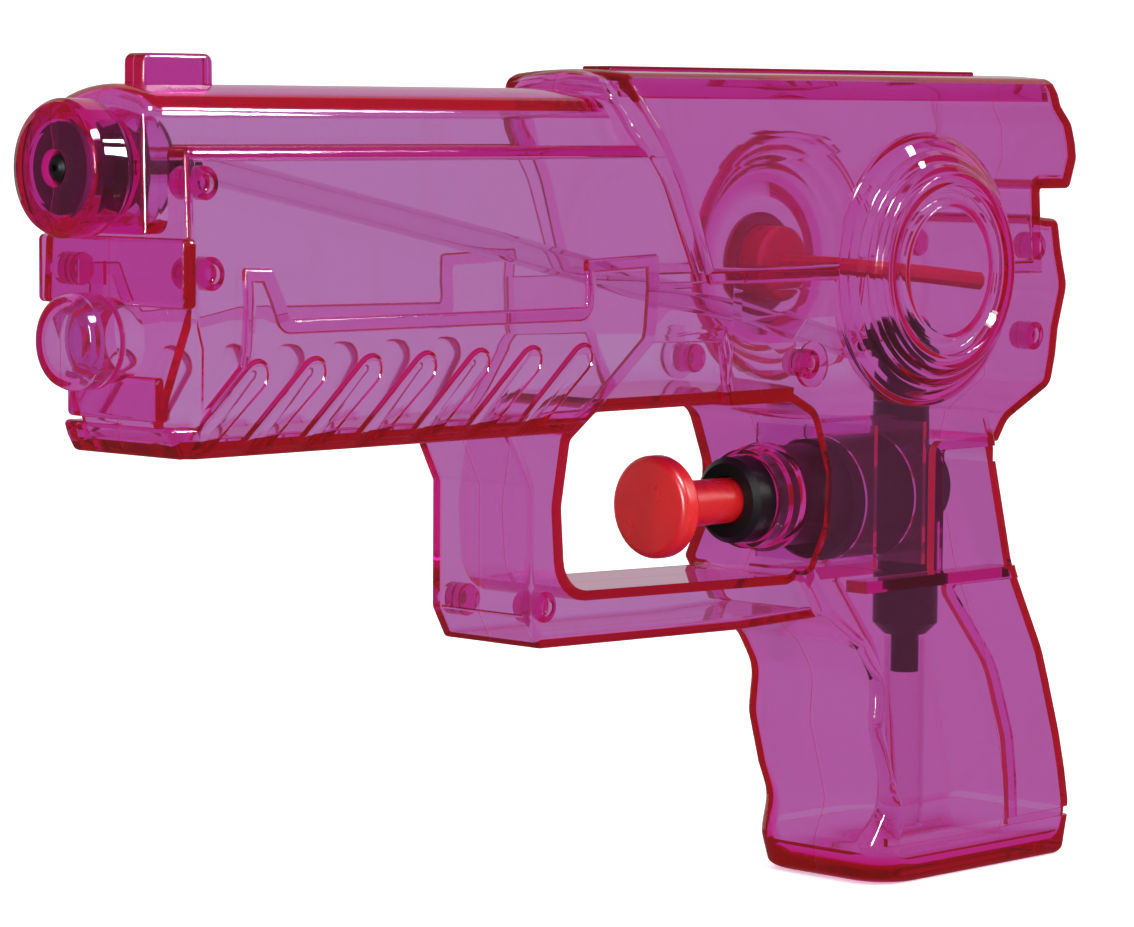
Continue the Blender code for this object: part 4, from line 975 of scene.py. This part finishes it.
def texture(material, scale, detail):
    """Noise in the object's own coordinates."""
    nodes, links = material.node_tree.nodes, material.node_tree.links
    place = nodes.new("ShaderNodeTexCoord")
    noise = nodes.new("ShaderNodeTexNoise")
    put(noise, Scale=scale, Detail=detail)
    links.new(place.outputs["Object"], noise.inputs["Vector"])
    return noise.outputs["Fac"]


def ranged(material, source, low, high):
    nodes, links = material.node_tree.nodes, material.node_tree.links
    node = nodes.new("ShaderNodeMapRange")
    put(node, From_Min=NOISE_RANGE[0], From_Max=NOISE_RANGE[1], To_Min=low, To_Max=high)
    links.new(source, node.inputs["Value"])
    return node.outputs["Result"]


def surface_detail(material, shader, roughness, bump_scale, bump_depth):
    """Uneven polish and a faint waviness or grain, as moulding leaves it."""
    links = material.node_tree.links
    links.new(ranged(material, texture(material, POLISH_SCALE, 3), *roughness), shader.inputs["Roughness"])
    bump = material.node_tree.nodes.new("ShaderNodeBump")
    put(bump, Strength=1.0, Distance=bump_depth)
    links.new(texture(material, bump_scale, 2), bump.inputs["Height"])
    links.new(bump.outputs["Normal"], shader.inputs["Normal"])


def clear_plastic(name, colour, absorbed, density, roughness, ior=1.49, bump=(70, 2e-5), painted_glow_strength=0.0):
    """Clear plastic with a tinted surface that takes its colour from the way through it, and an optional
    painted glow.
    """
    material, shader = principled(name, colour, roughness[0])
    put(shader, Transmission_Weight=1, IOR=ior, Emission_Color=(*PAINTED_GLOW_COLOUR, 1), Emission_Strength=painted_glow_strength)
    surface_detail(material, shader, roughness, *bump)
    nodes, links = material.node_tree.nodes, material.node_tree.links
    volume = nodes.new("ShaderNodeVolumeAbsorption")
    put(volume, Color=(*absorbed, 1), Density=density)
    links.new(volume.outputs["Volume"], nodes["Material Output"].inputs["Volume"])
    return name, material


def moulded(name, colour, roughness, bump=(2500, 1e-5), metallic=0.0, painted_glow=0.0, shine=0.5):
    """Opaque plastic, rubber or steel with slight changes of tone, and an optional painted glow in its own
    colour.
    """
    material, shader = principled(name, colour, roughness[0], metallic)
    put(shader, Specular_IOR_Level=shine, Emission_Color=(*colour, 1), Emission_Strength=painted_glow)
    surface_detail(material, shader, roughness, *bump)
    nodes, links = material.node_tree.nodes, material.node_tree.links
    tone = nodes.new("ShaderNodeMix")
    tone.data_type = "RGBA"
    for socket, share in zip("AB", TONES):
        tone.inputs[socket].default_value = (*[min(1, c * share) for c in colour], 1)
    links.new(ranged(material, texture(material, TONE_SCALE, 4), 0, 1), tone.inputs["Factor"])
    links.new(tone.outputs["Result"], shader.inputs["Base Color"])
    return name, material


MATERIALS = dict([
    # The magenta plastic glows faintly: painted light for the light scattered in it
    clear_plastic("magenta_plastic", (0.83, 0.99, 1.0), (0.97, 0.0, 0.715), 625, (0.02, 0.045), painted_glow_strength=0.014),
    clear_plastic("clear_vinyl", (0.99, 0.98, 0.99), (0.9, 0.6, 0.8), 330, (0.1, 0.2), 1.02),
    moulded("black_plastic", (0.005, 0.004, 0.005), (0.28, 0.42), shine=0.25),
    moulded("rubber", (0.02, 0.02, 0.02), (0.5, 0.7)),
    moulded("red_plastic", (0.54, 0.007, 0.010), (0.25, 0.36)),
    # The red rubber plug glows a little in its own colour: painted light that brightens it inside the shell
    moulded("red_rubber", (0.45, 0.012, 0.03), (0.4, 0.55), painted_glow=0.1),
    moulded("steel", (0.55, 0.55, 0.56), (0.15, 0.25), metallic=1.0)])
SLOTS = {row["node"]: row["material_slot"] for row in frame["record"]["subparts"]}
for node, slot in SLOTS.items():
    frame["nodes"][node].data.materials.clear()
    frame["nodes"][node].data.materials.append(MATERIALS[slot])


# Pieces of the model, each in place of its plain node

SHARP = math.radians(28)
FLAT = math.radians(0.1)
WELD = 2e-6


def place(solid, node, body="body"):
    """Put a piece where its node is, with smooth shading, and let it ride on the node's body."""
    solid.name = node + "_fine"

    def clean(bm):
        bmesh.ops.remove_doubles(bm, verts=bm.verts, dist=WELD)
        bmesh.ops.dissolve_limit(bm, angle_limit=FLAT, verts=bm.verts, edges=bm.edges)
    edit(solid, clean)
    solid.data.transform(Matrix.Translation(Vector((MUZZLE_X, 0, BORE_HEIGHT)) * MM))
    solid.data.materials.clear()
    solid.data.materials.append(MATERIALS[SLOTS[node]])
    solid.data.shade_smooth()
    solid.data.set_sharp_from_angle(angle=SHARP)
    weights = solid.modifiers.new("flat_faces", "WEIGHTED_NORMAL")
    weights.keep_sharp = True
    weights.weight = 80
    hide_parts(node)
    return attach(solid, body)


shell = whole_shell()
place(half(shell, 1), "left_shell")
place(right_half(shell), "right_shell")
bpy.data.objects.remove(shell)
place(nozzle(), "nozzle")
place(gland(), "pump_gland")
place(pump(), "pump_cylinder")
place(inlet_fitting(), "inlet_housing")
place(elbow(), "outlet_elbow")
place(plunger(), "trigger_plunger", "trigger")
place(plug(), "filler_plug", "plug")
route = smooth([Vector((x, 0, z)) for x, z in HOSE_ROUTE], HOSE_STEPS)
place(hose("hose", route, HOSE_RADIUS, HOSE_BORE, HOSE_SIDES), "outlet_hose")
tube = [(SUCTION_TOP, SUCTION_BORE), (SUCTION_TOP, SUCTION_RADIUS), (SUCTION_END, SUCTION_RADIUS),
        (SUCTION_END, SUCTION_BORE)]
place(turned("tube", tube, (INLET_X, 0, 0), "z", closed=True, sides=INNER_SIDES), "suction_tube")

# Springs, each with a mesh of its own
spring = place(coil_spring("return_spring", PISTON_BACK - FIT, SPRING_END, RETURN_COIL, (0, 0, PUMP_Z), "x"),
               "return_spring")
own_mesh(spring)
spring = place(coil_spring("outlet_spring", OUTLET_BALL_Z + BALL_RADIUS, VALVE_SPRING_TOP, VALVE_COIL,
                           (OUTLET_X, 0, 0), "z"), "outlet_spring")
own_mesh(spring)


# Camera at the photograph's angle

YAW, PITCH, ROLL = math.radians(45.5), math.radians(4.8), math.radians(0.35)
CAMERA_PLACE = (0.43525, 0.4235, 0.1183)
LENS, SENSOR = 133.33, 36
BACK = Vector((math.sin(YAW) * math.cos(PITCH), math.cos(YAW) * math.cos(PITCH), math.sin(PITCH)))


def add_camera():
    right = Vector((0, 0, 1)).cross(BACK).normalized()
    up = BACK.cross(right)
    camera_x = right * math.cos(ROLL) + up * math.sin(ROLL)
    camera_y = up * math.cos(ROLL) - right * math.sin(ROLL)
    turn = Matrix((camera_x, camera_y, BACK)).transposed().to_4x4()
    camera = add_object("camera", bpy.data.cameras.new("camera"))
    camera.data.lens = LENS
    camera.data.sensor_width = SENSOR
    camera.data.sensor_fit = "HORIZONTAL"
    camera.matrix_world = Matrix.Translation(CAMERA_PLACE) @ turn
    bpy.context.scene.camera = camera


# Seamless pale floor that sweeps up behind the gun, in metres

FLOOR_WHITE = (0.95, 0.95, 0.95)
FLOOR_GLOW = 0.35
SEEN_THROUGH = 0.59  # brightness of the background through the plastic
SEEN_MIRRORED = 0.07  # and of the world in reflections
SWEEP_FRONT, SWEEP_START, SWEEP_RADIUS, SWEEP_TOP, SWEEP_HALF = -3.0, 0.9, 0.8, 3.0, 4.0
SWEEP_STEPS = 24


def floor_mesh():
    profile = [(SWEEP_FRONT, 0.0)]
    for a in quarter(SWEEP_STEPS):
        profile.append((SWEEP_START + SWEEP_RADIUS * math.sin(a), SWEEP_RADIUS * (1 - math.cos(a))))
    profile.append((SWEEP_START + SWEEP_RADIUS, SWEEP_TOP))
    ahead = Vector((-BACK.x, -BACK.y, 0)).normalized()
    aside = Vector((ahead.y, -ahead.x, 0))
    points = [ahead * d + aside * w + Vector((0, 0, h))
              for w in (-SWEEP_HALF, SWEEP_HALF) for d, h in profile]
    count = len(profile)
    mesh = bpy.data.meshes.new("floor")
    mesh.from_pydata(points, [], [(k, k + 1, count + k + 1, count + k) for k in range(count - 1)])
    mesh.shade_smooth()
    return mesh


def floor_material():
    """White that glows a little, and is dimmer where the plastic lies in front of it."""
    material, shader = principled("floor", FLOOR_WHITE, 0.8)
    put(shader, Emission_Color=(1, 1, 1, 1), Emission_Strength=FLOOR_GLOW)
    nodes, links = material.node_tree.nodes, material.node_tree.links
    behind = nodes.new("ShaderNodeEmission")
    put(behind, Strength=SEEN_THROUGH)
    ray = nodes.new("ShaderNodeLightPath")
    either = nodes.new("ShaderNodeMixShader")
    links.new(ray.outputs["Transmission Depth"], either.inputs["Fac"])
    links.new(shader.outputs["BSDF"], either.inputs[1])
    links.new(behind.outputs["Emission"], either.inputs[2])
    links.new(either.outputs["Shader"], nodes["Material Output"].inputs["Surface"])
    return material


def maths(tree, operation, *values):
    """Maths node fed with other nodes' results and plain numbers, and its result."""
    node = tree.nodes.new("ShaderNodeMath")
    node.operation = operation
    for socket, value in zip(node.inputs, values):
        if isinstance(value, bpy.types.NodeSocket):
            tree.links.new(value, socket)
        else:
            socket.default_value = value
    return node, node.outputs["Value"]


def add_world():
    """White all round, dimmer through the plastic and in reflections."""
    world = bpy.data.worlds.new("studio")
    world.use_nodes = True
    tree = world.node_tree
    sky = tree.nodes["Background"]
    put(sky, Color=(1, 1, 1, 1))
    ray = tree.nodes.new("ShaderNodeLightPath")
    _, through = maths(tree, "MINIMUM", ray.outputs["Transmission Depth"], 1)
    only_mirrored, mirrored = maths(tree, "SUBTRACT", ray.outputs["Is Glossy Ray"], through)
    only_mirrored.use_clamp = True
    _, rest = maths(tree, "MULTIPLY_ADD", mirrored, SEEN_MIRRORED - 1, 1)
    _, brightness = maths(tree, "MULTIPLY_ADD", through, SEEN_THROUGH - 1, rest)
    tree.links.new(brightness, sky.inputs["Strength"])
    bpy.context.scene.world = world


# Soft lights round the gun, as (name, direction, distance, size, power)

AIM = Vector((-0.01, 0, 0.07))
TOP, RIGHT, LEFT = (0.23, 0.57, 0.78), (-0.6, 0.58, 0.55), (0.93, 0.3, 0.2)
LIGHTS = [("top", TOP, 1.2, (0.35, 0.35), 4.0), ("top_glint", TOP, 1.15, (0.22, 0.22), 18.0),
          ("right", RIGHT, 1.2, (0.08, 0.25), 2.0),
          ("right_glint", (-0.58, 0.72, 0.38), 1.15, (0.07, 0.30), 4.5),
          ("left", LEFT, 1.2, (0.08, 0.6), 2.5), ("left_glint", LEFT, 1.15, (0.12, 0.45), 14.0),
          ("backdrop", (-0.67, -0.67, 0.34), 1.5, (4.4, 1.8), 11.0)]
ONLY_MIRRORED = ("top_glint", "right_glint", "left_glint", "backdrop")
BOUNCES = 40


def softbox(name, direction, distance, size, power):
    """Soft lamp that shines on the gun from a direction; it isn't seen through the plastic."""
    light = bpy.data.lights.new(name, "AREA")
    light.shape = "RECTANGLE"
    light.size, light.size_y = size
    light.energy = power
    holder = add_object(name, light)
    away = Vector(direction).normalized()
    holder.location = AIM + away * distance
    holder.rotation_euler = away.to_track_quat("Z", "Y").to_euler()
    holder.visible_transmission = False
    holder.visible_diffuse = name not in ONLY_MIRRORED
    holder.visible_camera = name != "backdrop"


add_camera()
floor = add_object("floor", floor_mesh())
floor.data.materials.append(floor_material())
floor.visible_glossy = False
add_world()
for row in LIGHTS:
    softbox(*row)
bpy.context.scene.view_settings.view_transform = "Standard"
bpy.context.scene.cycles.max_bounces = BOUNCES
bpy.context.scene.cycles.transmission_bounces = BOUNCES
bpy.context.scene.cycles.glossy_bounces = BOUNCES
